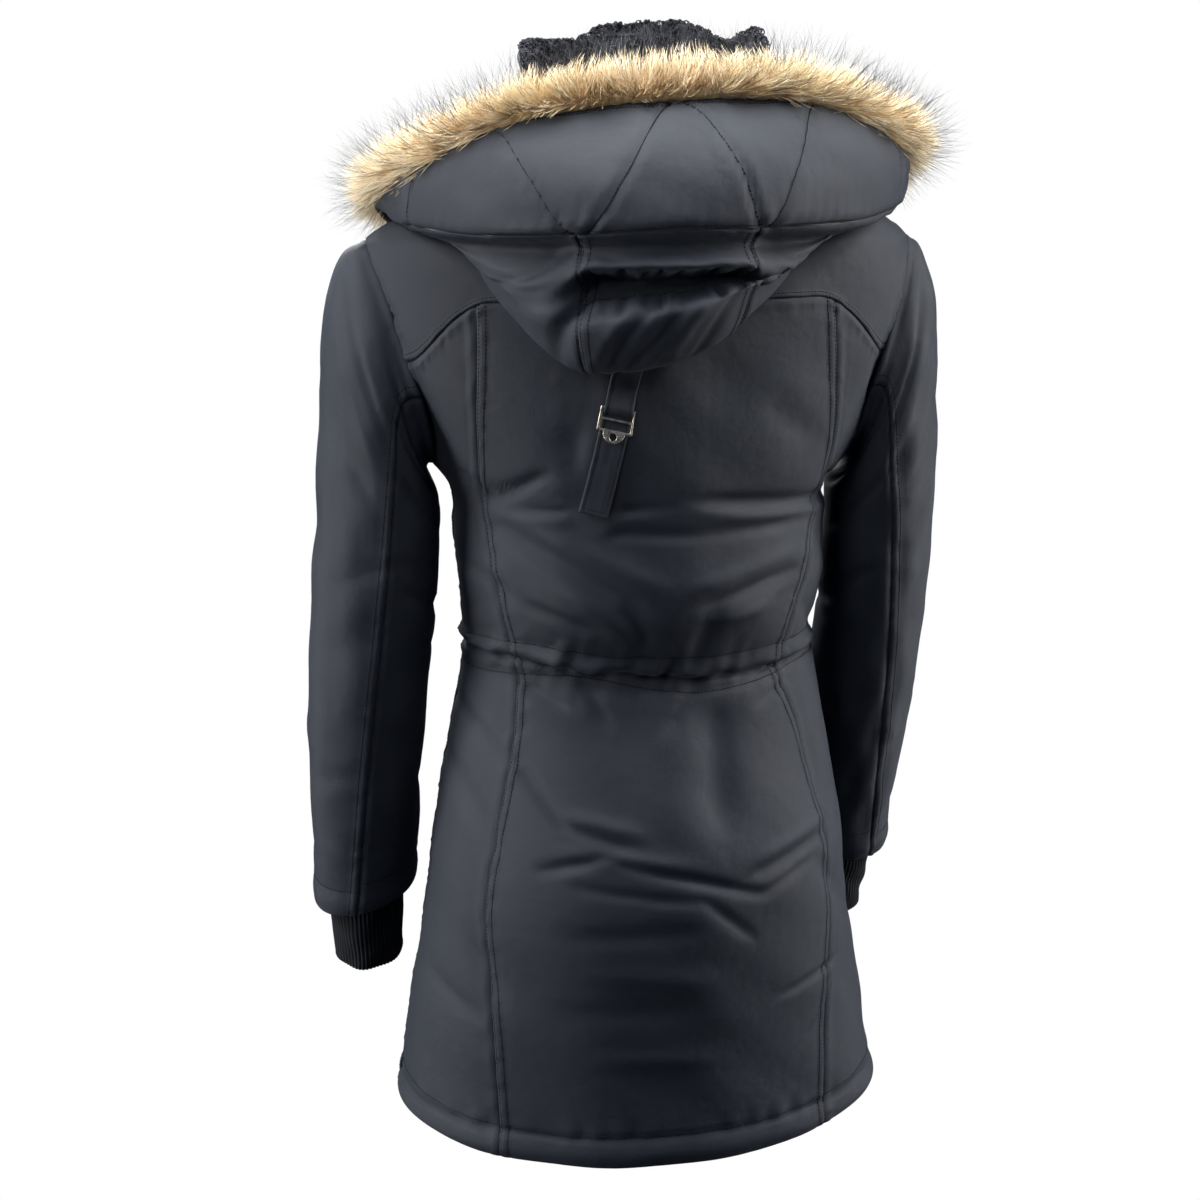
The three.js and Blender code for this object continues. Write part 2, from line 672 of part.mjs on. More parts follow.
// A solid roll: rings of a closed surface, with a flat end on the first ring and on the last.
function roll(surface, around, along) {
  const positions = [];
  const middles = [new THREE.Vector3(), new THREE.Vector3()];
  for (let j = 0; j <= along; j++) {
    for (let i = 0; i < around; i++) {
      const point = surface(i / around, j / along);
      positions.push(point.x, point.y, point.z);
      if (j === 0) middles[0].addScaledVector(point, 1 / around);
      if (j === along) middles[1].addScaledVector(point, 1 / around);
    }
  }
  const start = positions.length / 3;
  positions.push(...middles[0].toArray(), ...middles[1].toArray());
  const indices = [];
  const id = (i, j) => j * around + (i % around);
  for (let i = 0; i < around; i++) {
    for (let j = 0; j < along; j++) {
      indices.push(id(i, j), id(i + 1, j), id(i + 1, j + 1), id(i, j), id(i + 1, j + 1), id(i, j + 1));
    }
    indices.push(start, id(i + 1, 0), id(i, 0), start + 1, id(i, along), id(i + 1, along));
  }
  return facingOut(positions, indices);
}

// The strap comes from under the pouch and lies on the back. It goes over the buckle's upper bar and under the other
// two. Lengths down the strap are measured from its upper end.
const strapTop = [27, -133];
const strapEnd = [56, -262];
const strapWidth = 23;
const strapThick = 1.5;
const strapLength = Math.hypot(strapEnd[0] - strapTop[0], strapEnd[1] - strapTop[1]);
const buckleAt = 43;
const barStep = 9;
// Columns: length down the strap, height of the strap's inside over the back.
const strapHeights = [
  [0, 16],
  [12, 7],
  [24, 2.2],
  [33, 2.2],
  [41, 4.5],
  [44.6, 4.4],
  [49.6, 1.2],
  [66, 1],
  [130, 3],
];
const strapRows = [...spaced(0, 40, 7), ...spaced(40, 52, 10).slice(1), ...spaced(52, 132, 11).slice(1)];

function strapFrame(down, across, out) {
  const share = down / strapLength;
  const lateral = new THREE.Vector2(strapEnd[1] - strapTop[1], strapTop[0] - strapEnd[0]).normalize();
  const x = mix(strapTop[0], strapEnd[0], share) - lateral.x * across;
  const level = mix(strapTop[1], strapEnd[1], share) - lateral.y * across;
  return bodyPoint(bodyAngle(x, level), level, out);
}

function addStrap() {
  const surface = (u, v) => {
    const k = Math.min(Math.floor(v * (strapRows.length - 1) + 1e-6), strapRows.length - 2);
    const down = mix(strapRows[k], strapRows[k + 1], v * (strapRows.length - 1) - k);
    const across = mix(-strapWidth / 2, strapWidth / 2, u);
    return strapFrame(down, across, readTable(strapHeights, down)[1] + strapThick);
  };
  add("hood_strap", wall(surface, 3, strapRows.length - 1, strapThick, { flip: true }), materials.shell);
}

// The buckle is a flat frame with two windows and a rounded tab with a hole, bent up so that its lower bars lie
// over the strap.
function addBuckle() {
  const thick = 2;
  const half = 14.5;
  const rail = 2;
  const bar = 2;
  const outline = new THREE.Shape();
  outline.moveTo(-half, -bar / 2);
  outline.lineTo(half, -bar / 2);
  outline.lineTo(half, 2 * barStep + bar / 2);
  outline.lineTo(9, 2 * barStep + bar / 2);
  outline.absarc(0, 2 * barStep + bar / 2, 9, 0, Math.PI, false);
  outline.lineTo(-half, 2 * barStep + bar / 2);
  outline.closePath();
  const windowAt = (from) => {
    const hole = new THREE.Path();
    hole.moveTo(-half + rail, from + bar / 2);
    hole.lineTo(-half + rail, from + barStep - bar / 2);
    hole.lineTo(half - rail, from + barStep - bar / 2);
    hole.lineTo(half - rail, from + bar / 2);
    hole.closePath();
    return hole;
  };
  const eye = new THREE.Path();
  eye.absarc(0, 2 * barStep + 4.6, 2.9, 0, 2 * Math.PI, true);
  outline.holes.push(windowAt(0), windowAt(barStep), eye);
  const geometry = new THREE.ExtrudeGeometry(outline, { depth: thick, bevelEnabled: false, curveSegments: 10 });
  const top = strapFrame(buckleAt, 0, 1.8 + thick / 2);
  const low = strapFrame(buckleAt + 2 * barStep, 0, 5.2 + thick / 2);
  const side = strapFrame(buckleAt, 12, 0).sub(strapFrame(buckleAt, -12, 0)).normalize();
  const down = low.sub(top).normalize();
  const out = side.clone().cross(down).normalize();
  side.copy(down).cross(out);
  geometry.translate(0, 0, -thick / 2);
  geometry.applyMatrix4(new THREE.Matrix4().makeBasis(side, down, out).setPosition(top));
  add("hood_buckle", geometry, materials.metal);
}

// The middle line of the front, from the hem up to the collar's edge: its place, and the direction out of the cloth.
const zipStart = -806;
const zipTop = 0.95;
function frontLine(share) {
  const split = 0.84;
  const at = (t) => {
    if (t < split) return bodyPoint(Math.PI, mix(zipStart, 0, t / split));
    return collarPoint(Math.PI, ((t - split) / (1 - split)) * zipTop);
  };
  const place = at(share);
  const along = at(Math.min(1, share + 0.012)).sub(at(Math.max(0, share - 0.012))).normalize();
  return { place: place.setX(0), along, out: new THREE.Vector3(0, -along.z, along.y).normalize() };
}

function sweepZip(profile, from, to, steps) {
  const surface = (u, v) => {
    const { place, out } = frontLine(mix(from, to, v));
    const [x, height] = profile[Math.round(u * profile.length) % profile.length];
    const atNeck = 5 * Math.exp(-(((mix(from, to, v) - 0.835) / 0.03) ** 2));
    return place.addScaledVector(out, height - atNeck).setX(x);
  };
  return roll(surface, profile.length, steps);
}

function addZip() {
  const sides = [["left", 1], ["right", -1]];
  for (const [word, side] of sides) {
    const profile = [
      [0.15, -2.4], [3.2, -2.4], [3.2, -4.8], [11, -4.8], [11, -6], [0.15, -6],
    ].map(([x, height]) => [side * x, height]);
    add(`zip_${word}`, sweepZip(profile, 0.004, 0.985, 30), materials.tape);
  }
}

// The slider closes the zip near the collar's edge. Its pull hangs from a bar under the slider's arch.
const sliderAt = 0.955;

function solidOf(geometry) {
  geometry.deleteAttribute("normal");
  geometry.deleteAttribute("uv");
  const merged = mergeVertices(geometry, 1e-4);
  return new wasm.Manifold(
    new wasm.Mesh({
      numProp: 3,
      vertProperties: new Float32Array(merged.attributes.position.array),
      triVerts: new Uint32Array(merged.index.array),
    }),
  );
}

function placed(solid, place, along, out) {
  const mesh = solid.getMesh();
  const geometry = geometryOf(Array.from(mesh.vertProperties), Array.from(mesh.triVerts));
  const side = along.clone().cross(out).normalize();
  return geometry.applyMatrix4(new THREE.Matrix4().makeBasis(side, along, out).setPosition(place));
}

const block = (width, height, depth, x, y, z) =>
  solidOf(new THREE.BoxGeometry(width, height, depth).translate(x, y, z));

function addSlider() {
  const { place, along, out } = frontLine(sliderAt);
  const base = block(9.6, 13, 1.8, 0, 0, -0.7);
  const arch = block(2.4, 11, 6.2, 0, 0, 3.2).subtract(block(4, 7.4, 3.4, 0, 0, 2.1));
  add("zip_slider", placed(base.add(arch), place, along, out), materials.metal);
}

// The pull hangs straight down from its bar and turns about it.
const pullDrop = 30;
function addPull() {
  const { place, out } = frontLine(sliderAt);
  const pivot = place.addScaledVector(out, 2.1);
  const bar = solidOf(new THREE.CylinderGeometry(0.9, 0.9, 8.8, 16).rotateZ(Math.PI / 2));
  const cheek = (side) => block(1.6, 13, 1.8, 3.6 * side, -6.2, 0);
  const plate = block(8.8, pullDrop - 12, 1.8, 0, -12 - (pullDrop - 12) / 2, 0);
  const pull = bar.add(cheek(1)).add(cheek(-1)).add(plate);
  const up = new THREE.Vector3(0, 0, 1);
  add("zip_pull", placed(pull, pivot, up, new THREE.Vector3(0, -1, 0)), materials.metal);
}

parka.name = "parka";
addBack();
addYoke();
addFronts();
addSleeve("left", leftSleeve, leftSleeveSeams, 1);
addSleeve("right", rightSleeve, rightSleeveSeams, -1);
addCuff("left", leftSleeve, 1);
addCuff("right", rightSleeve, -1);
addCollar();
addHood();
addHoodLining();
addFur();
addStrap();
addBuckle();
addZip();
addSlider();
addPull();

export default parka;
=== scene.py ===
# A women's winter parka, worn and hollow, seen from behind: twill shell, fur-edged hood thrown back, pile collar.
# Shapes are worked out in millimetres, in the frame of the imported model, and turned into metres at the end.
import math

import bpy
import numpy as np
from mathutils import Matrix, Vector


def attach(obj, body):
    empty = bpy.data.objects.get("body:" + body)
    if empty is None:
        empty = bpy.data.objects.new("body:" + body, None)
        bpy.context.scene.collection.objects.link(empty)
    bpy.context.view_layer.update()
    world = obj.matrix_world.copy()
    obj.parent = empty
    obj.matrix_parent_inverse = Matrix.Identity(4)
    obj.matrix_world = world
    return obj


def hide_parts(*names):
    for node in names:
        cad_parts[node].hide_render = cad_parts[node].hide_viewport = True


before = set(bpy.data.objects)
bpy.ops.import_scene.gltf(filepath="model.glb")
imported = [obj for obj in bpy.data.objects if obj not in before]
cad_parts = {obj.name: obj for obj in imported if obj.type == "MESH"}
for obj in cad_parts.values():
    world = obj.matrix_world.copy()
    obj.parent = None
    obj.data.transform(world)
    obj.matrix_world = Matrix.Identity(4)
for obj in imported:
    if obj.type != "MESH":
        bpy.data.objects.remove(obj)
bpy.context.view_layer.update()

# Driving sizes, those of the solids except for the hem's drop (13 there) and the cloth's thickness (3 there)
TUCK = 0.5
HEM = -825
PIT = -235
TIP = -52
NECK_DROP = 38
HEM_DROP = 15.5
ZIP_HALF_GAP = 6
SIDE_SEAM = 97
CUFF_LENGTH = 80
HOOD_END = 152
HOOD_ROLL = 0.06
POUCH_TURN = 7
POUCH_TILT = 0.25
BRIM_SHARE = 0.29
CROWN_SEAM = 0.585
LEFT_HOOD_SEAM = 24
RIGHT_HOOD_SEAM = -19
SHELL = 2.0

# Body rings. Columns: level, half width, back depth, front depth.
BODY_RINGS = np.array([
    [-825, 223, 158, 154], [-745, 211, 152, 149], [-684, 200, 146, 144], [-625, 191, 139, 138],
    [-566, 184, 130, 131], [-508, 174, 119, 122], [-450, 163, 108, 112], [-400, 155, 103, 108],
    [-350, 158, 109, 116], [-300, 162, 115, 124], [-260, 164, 118, 128], [-235, 181, 119, 128],
    [-180, 212, 117, 125], [-137, 231, 111, 118], [-95, 237, 102, 108], [-52, 231, 90, 98],
    [-42, 221, 87, 96], [-33, 206, 83, 93], [-24, 180, 78, 90], [-16, 150, 73, 87],
    [-9, 120, 68, 84], [0, 85, 62, 80],
], float)

# Princess seams of the back. Columns: level, distance of the left seam from the middle, and of the right seam.
PRINCESS = np.array([
    [-840, 142, 159], [-730, 144, 156], [-606, 142, 153], [-475, 121, 130],
    [-400, 118, 111], [-240, 146, 150], [-90, 146, 149],
], float)

# Broad folds of the back. Columns: across, level, half length, half height, tilt, rise.
BACK_FOLDS = [
    [0, -411, 150, 13, 0, -5], [0, -342, 128, 50, 2, 14], [-4, -200, 120, 50, 0, 3], [150, -330, 40, 16, -30, 3],
    [-150, -330, 40, 16, 30, 3],
]

# How the middle of the back stands out over the seat and hangs straight below it. Columns: level, rise.
SEAT = np.array([
    [-838, -9], [-790, -8], [-735, -3], [-675, 7], [-625, 16], [-585, 20], [-545, 19], [-490, 9],
    [-450, 2], [-420, 0],
], float)

# Sewing lines of the waist casing and the crease of its gathers. Columns: across, upper line, lower line, crease.
CASING = np.array([
    [-150, -386, -412, -407], [-123, -388, -414, -409], [-92, -389, -419, -411], [-55, -390, -422, -412],
    [-31, -390, -422, -412], [4, -388, -418, -409], [40, -387, -411, -404], [74, -381, -407, -402],
    [102, -379, -408, -397], [138, -381, -412, -396], [160, -384, -414, -396],
], float)

# Sleeve rings. Columns: share of the way down, outermost point across and its level, innermost point across and its
# level, middle in depth, half depth.
LEFT_SLEEVE = np.array([
    [0, 231, -52, 181, -235, -2, 52], [0.05, 246, -58, 184, -241, -2, 55], [0.1, 257, -75, 182, -249, -3, 58],
    [0.16, 266, -103, 177, -259, -3, 60], [0.23, 271, -150, 174, -276, -4, 60], [0.3, 274, -200, 174, -297, -4, 58],
    [0.4, 279, -265, 175, -331, -5, 57], [0.5, 285, -335, 179, -375, -8, 55], [0.63, 290, -424, 186, -439, -17, 53],
    [0.77, 293, -516, 192, -514, -32, 51], [0.92, 293, -608, 196, -592, -50, 49], [1, 294, -658, 198, -634, -60, 48],
], float)
RIGHT_SLEEVE = np.array([
    [0, 231, -52, 181, -235, -2, 52], [0.05, 241, -58, 183, -241, -2, 55], [0.1, 249, -76, 180, -249, -3, 58],
    [0.16, 257, -104, 173, -259, -3, 60], [0.23, 261, -150, 169, -276, -4, 60], [0.3, 264, -200, 168, -297, -5, 58],
    [0.4, 266, -265, 167, -330, -8, 57], [0.5, 267, -332, 167, -375, -16, 55], [0.63, 268, -420, 167, -440, -36, 53],
    [0.77, 265, -508, 166, -516, -60, 51], [0.92, 262, -596, 165, -596, -86, 49], [1, 261, -642, 165, -636, -100, 48],
], float)
# Sleeve seams. Columns: share of the way down, back seam in degrees round from the outside, front seam.
LEFT_SLEEVE_SEAMS = np.array([[0, 108, 252], [0.3, 101, 256], [0.6, 96, 262], [1, 79, 275]], float)
RIGHT_SLEEVE_SEAMS = np.array([[0, 108, 252], [0.3, 97, 256], [0.6, 84, 262], [1, 62, 275]], float)

# Hood sections from the middle of the back round to the front. Columns: azimuth, then distance and level of the edge,
# crest, face, fold, tuck, band, slit, pouch, bottom, under and back points.
HOOD = np.array([
    [0, 124, 66, 150, 53, 180, 18, 190, -22, 170, -41, 186, -54, 168, -71, 188, -98, 162, -136, 128, -116, 106, -56],
    [25, 132, 65, 156, 51, 184, 16, 193, -25, 172, -42, 187, -54, 170, -70, 186, -94, 163, -126, 134, -108, 110, -54],
    [50, 160, 55, 179, 44, 197, 13, 201, -27, 181, -42, 184, -48, 176, -56, 176, -66, 166, -82, 146, -76, 122, -30],
    [72, 199, 25, 213, 18, 219, 0, 214, -25, 198, -36, 188, -34, 178, -30, 168, -24, 155, -17, 135, -8, 110, 1],
    [92, 222, 0, 230, -5, 230, -16, 222, -26, 211, -27, 202, -23, 190, -18, 176, -13, 160, -9, 138, -3, 112, 3],
    [112, 214, -26, 219, -33, 214, -42, 204, -45, 193, -42, 184, -37, 172, -30, 160, -21, 148, -14, 130, -6, 110, 0],
    [132, 176, -52, 179, -59, 174, -65, 166, -64, 157, -59, 149, -52, 141, -45, 132, -36, 124, -28, 115, -21, 105, -14],
    [152, 136, -66, 138, -72, 134, -77, 129, -74, 124, -66, 119, -57, 114, -49, 109, -42, 105, -37, 101, -32, 96, -28],
], float)

# Collar. Columns: azimuth from the back, level of the top edge, lean of the top edge outwards.
COLLAR_TOP = np.array([[0, 58, 9], [60, 74, 14], [100, 101, 17], [150, 111, 14], [180, 98, 11]], float)

# Top of the collar's pile, uneven as worn. Columns: degrees round from the back (left positive), level.
PILE_TOP = np.array([
    [-180, 120], [-162, 122], [-148, 121], [-137, 117], [-128, 108], [-119, 107], [-110, 115],
    [-100, 116], [-90, 108],
    [-75, 92], [-60, 81], [-30, 68], [0, 65], [30, 68], [60, 80], [78, 92], [95, 103], [112, 108], [135, 107],
    [152, 108], [163, 114], [172, 119], [180, 120],
], float)


# A smooth step from low to high, with its slope at both ends, for t from 0 to 1
def hermite(low, high, slope_low, slope_high, t):
    t2, t3 = t * t, t * t * t
    return ((2 * t3 - 3 * t2 + 1) * low + (t3 - 2 * t2 + t) * slope_low
            + (3 * t2 - 2 * t3) * high + (t3 - t2) * slope_high)


# Rows of a table at any value of its first column, on a smooth curve through them
def read(rows, at):
    rows = np.asarray(rows, float)
    at = np.asarray(at, float)
    last = len(rows) - 1
    k = np.clip(np.searchsorted(rows[:, 0], at, side="left") - 1, 0, last - 1)
    slopes = np.empty_like(rows)
    for i in range(last + 1):
        a, b = rows[max(i - 1, 0)], rows[min(i + 1, last)]
        slopes[i] = (b - a) / (b[0] - a[0])
    low, high = rows[k], rows[k + 1]
    span = (high[..., 0] - low[..., 0])[..., None]
    t = np.clip((at - low[..., 0])[..., None] / span, 0, 1)
    return hermite(low, high, span * slopes[k], span * slopes[k + 1], t)


def smooth(x):
    x = np.clip(x, 0, 1)
    return x * x * (3 - 2 * x)


def mix(a, b, t):
    return a + (b - a) * t


def bump(x, half):
    return np.exp(-((x / half) ** 2))


def unit(v):
    return v / np.maximum(np.linalg.norm(v, axis=-1, keepdims=True), 1e-12)


# Normals turned to the side that another direction points to
def facing(normals, way):
    return normals * np.sign(np.sum(normals * way, -1, keepdims=True) + 1e-12)


# Values of a grid in the cell (i, j), at s of a step along its row and t of a step up
def between(grid, i, j, s, t):
    low = grid[j, i] * (1 - s) + grid[j, i + 1] * s
    high = grid[j + 1, i] * (1 - s) + grid[j + 1, i + 1] * s
    return low * (1 - t) + high * t


# Smooth repeatable noise: a sum of a few turned waves, between about -1 and 1
def waves(seed, x, y, scale, count=5):
    rng = np.random.default_rng(seed)
    total = 0.0
    for _ in range(count):
        turn, phase = rng.uniform(0, 2 * np.pi, 2)
        f = rng.uniform(0.6, 1.5) * 2 * np.pi / scale
        total = total + np.sin(f * (x * np.cos(turn) + y * np.sin(turn)) + phase)
    return total / count ** 0.5 / 1.2


def folds(table, x, level):
    height = np.zeros(np.broadcast(x, level).shape)
    for across, at, half_length, half_height, tilt, rise in table:
        a = math.radians(tilt)
        dx, dz = x - across, level - at
        along = (dx * math.cos(a) + dz * math.sin(a)) / half_length
        over = (dz * math.cos(a) - dx * math.sin(a)) / half_height
        height = height + rise * np.exp(-(along ** 4) - over ** 2)
    return height


def body_point(angle, level, out=0.0):
    angle, level = np.broadcast_arrays(np.asarray(angle, float), np.asarray(level, float))
    ring = read(BODY_RINGS, level)
    half, back, front = ring[..., 1], ring[..., 2], ring[..., 3]
    s, c = np.sin(angle), np.cos(angle)
    depth = np.where(c > 0, back, front)
    drop = NECK_DROP * smooth(1 + level / 100) * np.maximum(0, -c) ** 1.5
    drop = drop + HEM_DROP * smooth((-600 - level) / 225) * np.maximum(0, c)
    nx, ny = s / half, c / depth
    length = np.hypot(nx, ny)
    seat = read(SEAT, np.clip(level, -838, -420))[..., 1] * np.clip(c, 0, 1) ** 1.5
    lift = out + smooth((c + 0.1) / 0.5) * (folds(BACK_FOLDS, half * s, level) + seat)
    return np.stack([half * s + nx / length * lift, depth * c + ny / length * lift, level - drop], -1)


def body_angle(x, level):
    return np.arcsin(np.clip(x / read(BODY_RINGS, level)[..., 1], -1, 1))


HOLE_MIDDLE = (TIP + PIT) / 2
HOLE_HALF = (TIP - PIT) / 2
HOLE_BACK = math.radians(27.5)
HOLE_FRONT = math.radians(32)


def hole_angle(level, width):
    share = np.clip((level - HOLE_MIDDLE) / HOLE_HALF, -1, 1)
    return width * np.sqrt(1 - share * share)


def hole_point(turn, inset=0.0):
    level = HOLE_MIDDLE + (HOLE_HALF - inset) * np.cos(turn)
    width = np.where(np.sin(turn) > 0, HOLE_BACK, HOLE_FRONT) - inset / 200
    return body_point(np.pi / 2 - width * np.sin(turn), level)


def yoke_seam(angle):
    return mix(-92, HOLE_MIDDLE, smooth((np.abs(angle) - math.radians(34)) / math.radians(28)))


def left_princess(level):
    return body_angle(read(PRINCESS, level)[..., 1], level)


def right_princess(level):
    return body_angle(-read(PRINCESS, level)[..., 2], level)


def side_angle(level):
    return np.radians(mix(90, SIDE_SEAM, smooth((PIT - level) / 110)))


def back_edge(level):
    hole = np.pi / 2 - np.where(level < TIP, hole_angle(level, HOLE_BACK), 0)
    return np.where(level < PIT, side_angle(level), hole)


def front_edge(level):
    hole = np.pi / 2 + np.where(level < TIP, hole_angle(level, HOLE_FRONT), 0)
    return np.where(level < PIT, side_angle(level), hole)


def middle_edge(level):
    return np.pi - np.arcsin(ZIP_HALF_GAP / read(BODY_RINGS, level)[..., 1])


# Making meshes
def placed(name, data):
    obj = bpy.data.objects.new(name, data)
    bpy.context.scene.collection.objects.link(obj)
    return obj


# The faces of one small shape, repeated for each copy of its points
def repeated(faces, copies, points):
    faces = np.array(faces)
    return (faces[None] + points * np.arange(copies)[:, None, None]).reshape(-1, faces.shape[1])


def mesh_object(name, verts, faces, slot, uv=None, smooth_shade=True):
    verts = np.asarray(verts, np.float32).reshape(-1, 3) / 1000
    faces = np.asarray(faces, np.int32)
    per = faces.shape[1]
    mesh = bpy.data.meshes.new(name)
    mesh.vertices.add(len(verts))
    mesh.vertices.foreach_set("co", verts.ravel())
    mesh.loops.add(faces.size)
    mesh.loops.foreach_set("vertex_index", faces.ravel())
    mesh.polygons.add(len(faces))
    mesh.polygons.foreach_set("loop_start", np.arange(0, faces.size, per, dtype=np.int32))
    if smooth_shade:
        mesh.polygons.foreach_set("use_smooth", np.ones(len(faces), bool))
    mesh.update(calc_edges=True)
    mesh.validate()
    if uv is not None:
        layer = mesh.uv_layers.new(name="UVMap")
        layer.data.foreach_set("uv", np.asarray(uv, np.float32)[faces.ravel()].ravel())
    obj = placed(name, mesh)
    mesh.materials.append(MATERIALS[slot])
    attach(obj, "coat")
    return obj


def grid_normals(grid, closed=False):
    if closed:
        du = np.roll(grid, -1, 1) - np.roll(grid, 1, 1)
    else:
        du = np.gradient(grid, axis=1)
    dv = np.gradient(grid, axis=0)
    return unit(np.cross(dv, du))


def arc_uv(grid):
    du = np.linalg.norm(np.diff(grid, axis=1), axis=-1)
    dv = np.linalg.norm(np.diff(grid, axis=0), axis=-1)
    u = np.concatenate([np.zeros((grid.shape[0], 1)), np.cumsum(du, 1)], 1)
    u = u - u[:, grid.shape[1] // 2][:, None]
    v = np.concatenate([np.zeros((1, grid.shape[1])), np.cumsum(dv, 0)], 0)
    return np.stack([u, v], -1) / 1000


# A closed wall from a grid of outside points (rows, columns, 3), with its normals pointing out.
def wall(name, grid, normals, thickness, slot, closed=False):
    rows, columns = grid.shape[:2]
    count = rows * columns
    inner = grid - normals * thickness
    j, i = np.mgrid[0:rows - 1, 0:columns if closed else columns - 1]
    a = (j * columns + i).ravel()
    b = (j * columns + (i + 1) % columns).ravel()
    c, d = b + columns, a + columns
    faces = [np.stack([a, b, c, d], 1), np.stack([a, d, c, b], 1) + count]
    i = np.arange(columns if closed else columns - 1)
    e, f = i, (i + 1) % columns
    faces.append(np.stack([e, e + count, f + count, f], 1))
    g, h = e + (rows - 1) * columns, f + (rows - 1) * columns
    faces.append(np.stack([g, h, h + count, g + count], 1))
    if not closed:
        j = np.arange(rows - 1) * columns
        faces.append(np.stack([j, j + columns, j + columns + count, j + count], 1))
        k = j + columns - 1
        faces.append(np.stack([k, k + count, k + columns + count, k + columns], 1))
    faces = np.concatenate(faces)
    if np.sum(np.cross(grid[0, 1] - grid[0, 0], grid[1, 0] - grid[0, 0]) * normals[0, 0]) < 0:
        faces = faces[:, ::-1]
    uv = arc_uv(grid).reshape(-1, 2)
    return mesh_object(name, np.concatenate([grid.reshape(-1, 3), inner.reshape(-1, 3)]), faces, slot,
                       np.concatenate([uv, uv]))


# Shares from 0 to 1 for a stretch of cloth: close together near both ends, where the seams draw it in.
def stretch(length, step, near=(0, 0.7, 1.6, 2.8, 4.4, 6.4, 9)):
    inside = np.linspace(near[-1], length - near[-1], max(2, int(round((length - 2 * near[-1]) / step)) + 1))
    ends = np.array(near[:-1])
    return np.concatenate([ends, inside, length - ends[::-1]]) / length


# A piece of cloth: base(u, v) gives its points, width(v) how wide it is there, and relief(u, v, points) how far they
# stand out. Seams name the sides that are sewn or plain; beside a seam the cloth has a groove, a puff and puckers.
GROOVE = 0.9


class Cloth:
    def __init__(self, base, width, height, outward, seams, relief, seed, puff=0.6):
        self.base, self.width, self.height = base, width, height
        self.seams, self.relief, self.seed, self.puff = seams, relief, seed, puff
        self.sign = 1.0
        if isinstance(outward, float):
            self.sign = outward
        else:
            normal = self.frame_at(np.array([0.5]), np.array([0.5]))[1][0]
            self.sign = 1.0 if float(normal @ np.array(outward, float)) > 0 else -1.0

    def frame_at(self, u, v):
        step = 2e-4
        point = self.base(u, v)
        du = self.base(np.minimum(u + step, 1), v) - self.base(np.maximum(u - step, 0), v)
        dv = self.base(u, np.minimum(v + step, 1)) - self.base(u, np.maximum(v - step, 0))
        return point, unit(np.cross(dv, du) * self.sign)

    def edge_rise(self, u, v):
        w, h = self.width(v), self.height
        rise = 0.0
        along = {"left": v * h, "right": v * h, "bottom": u * w, "top": u * w}
        away = {"left": u * w, "right": (1 - u) * w, "bottom": v * h, "top": (1 - v) * h}
        for k, side in enumerate(("left", "right", "bottom", "top")):
            kind = self.seams.get(side)
            if not kind:
                continue
            d, s = away[side], along[side]
            if kind == "plain":
                rise = rise - GROOVE * np.exp(-d)
                continue
            pucker = waves(self.seed + 10 * k, s, 0 * s, 11, 4)
            rise = rise - GROOVE * (np.exp(-d / 1.3) + 0.35 * bump(d - 10.4, 1.8))
            rise = rise + self.puff * bump(d - 5.2, 3.2) * (1 + 0.5 * pucker) + 0.28 * pucker * bump(d - 9, 6.5)
        return rise

    def at(self, u, v):
        point, normal = self.frame_at(u, v)
        rise = self.edge_rise(u, v) + self.relief(u, v, point)
        return point + normal * rise[..., None], normal

    def build(self, name, step):
        self.u, self.v = stretch(self.width(0.5), step), stretch(self.height, step)
        self.grid, base_normals = self.at(*np.meshgrid(self.u, self.v))
        self.normals = facing(grid_normals(self.grid), base_normals)
        return wall(name, self.grid, self.normals, SHELL, "shell")

    # Points and normals of the finished mesh, for the sewing that lies on it
    def on(self, u, v):
        u, v = np.broadcast_arrays(np.asarray(u, float), np.asarray(v, float))
        i = np.clip(np.searchsorted(self.u, u) - 1, 0, len(self.u) - 2)
        j = np.clip(np.searchsorted(self.v, v) - 1, 0, len(self.v) - 2)
        s = ((u - self.u[i]) / (self.u[i + 1] - self.u[i]))[..., None]
        t = ((v - self.v[j]) / (self.v[j + 1] - self.v[j]))[..., None]
        return between(self.grid, i, j, s, t), between(self.normals, i, j, s, t)


# Sewing: small spindles along a path, each a stitch
class Sewing:
    def __init__(self):
        self.verts, self.faces, self.count = [], [], 0

    def line(self, points, normals, pitch=3.4, length=2.6, width=0.78, rise=0.48):
        points, normals = np.asarray(points), np.asarray(normals)
        steps = np.linalg.norm(np.diff(points, axis=0), axis=1)
        s = np.concatenate([[0], np.cumsum(steps)])
        if s[-1] < 2 * pitch:
            return
        n = int(s[-1] / pitch)
        mids = (np.arange(n) + 0.5) * s[-1] / n

        def at(x):
            return np.stack([np.interp(x, s, points[:, k]) for k in range(3)], -1)

        a, b = at(mids - length / 2), at(mids + length / 2)
        out = unit(np.stack([np.interp(mids, s, normals[:, k]) for k in range(3)], -1))
        along = unit(b - a)
        side = np.cross(out, along) * width / 2
        rings = []
        for middle in (a + along * 0.3, b - along * 0.3):
            rings += [middle + side + out * 0.05, middle + out * rise, middle - side + out * 0.05]
        block = np.stack([a - out * 0.3, b - out * 0.3, *rings], 1)
        pattern = [[0, 3, 2], [0, 4, 3], [0, 2, 4], [1, 5, 6], [1, 6, 7], [1, 7, 5]]
        for q in range(3):
            q2 = (q + 1) % 3
            pattern += [[2 + q, 2 + q2, 5 + q2], [2 + q, 5 + q2, 5 + q]]
        self.verts.append(block.reshape(-1, 3))
        self.faces.append(repeated(pattern, n, 8) + self.count)
        self.count += 8 * n

    def build(self, name):
        mesh_object(name, np.concatenate(self.verts), np.concatenate(self.faces), "shell:thread")


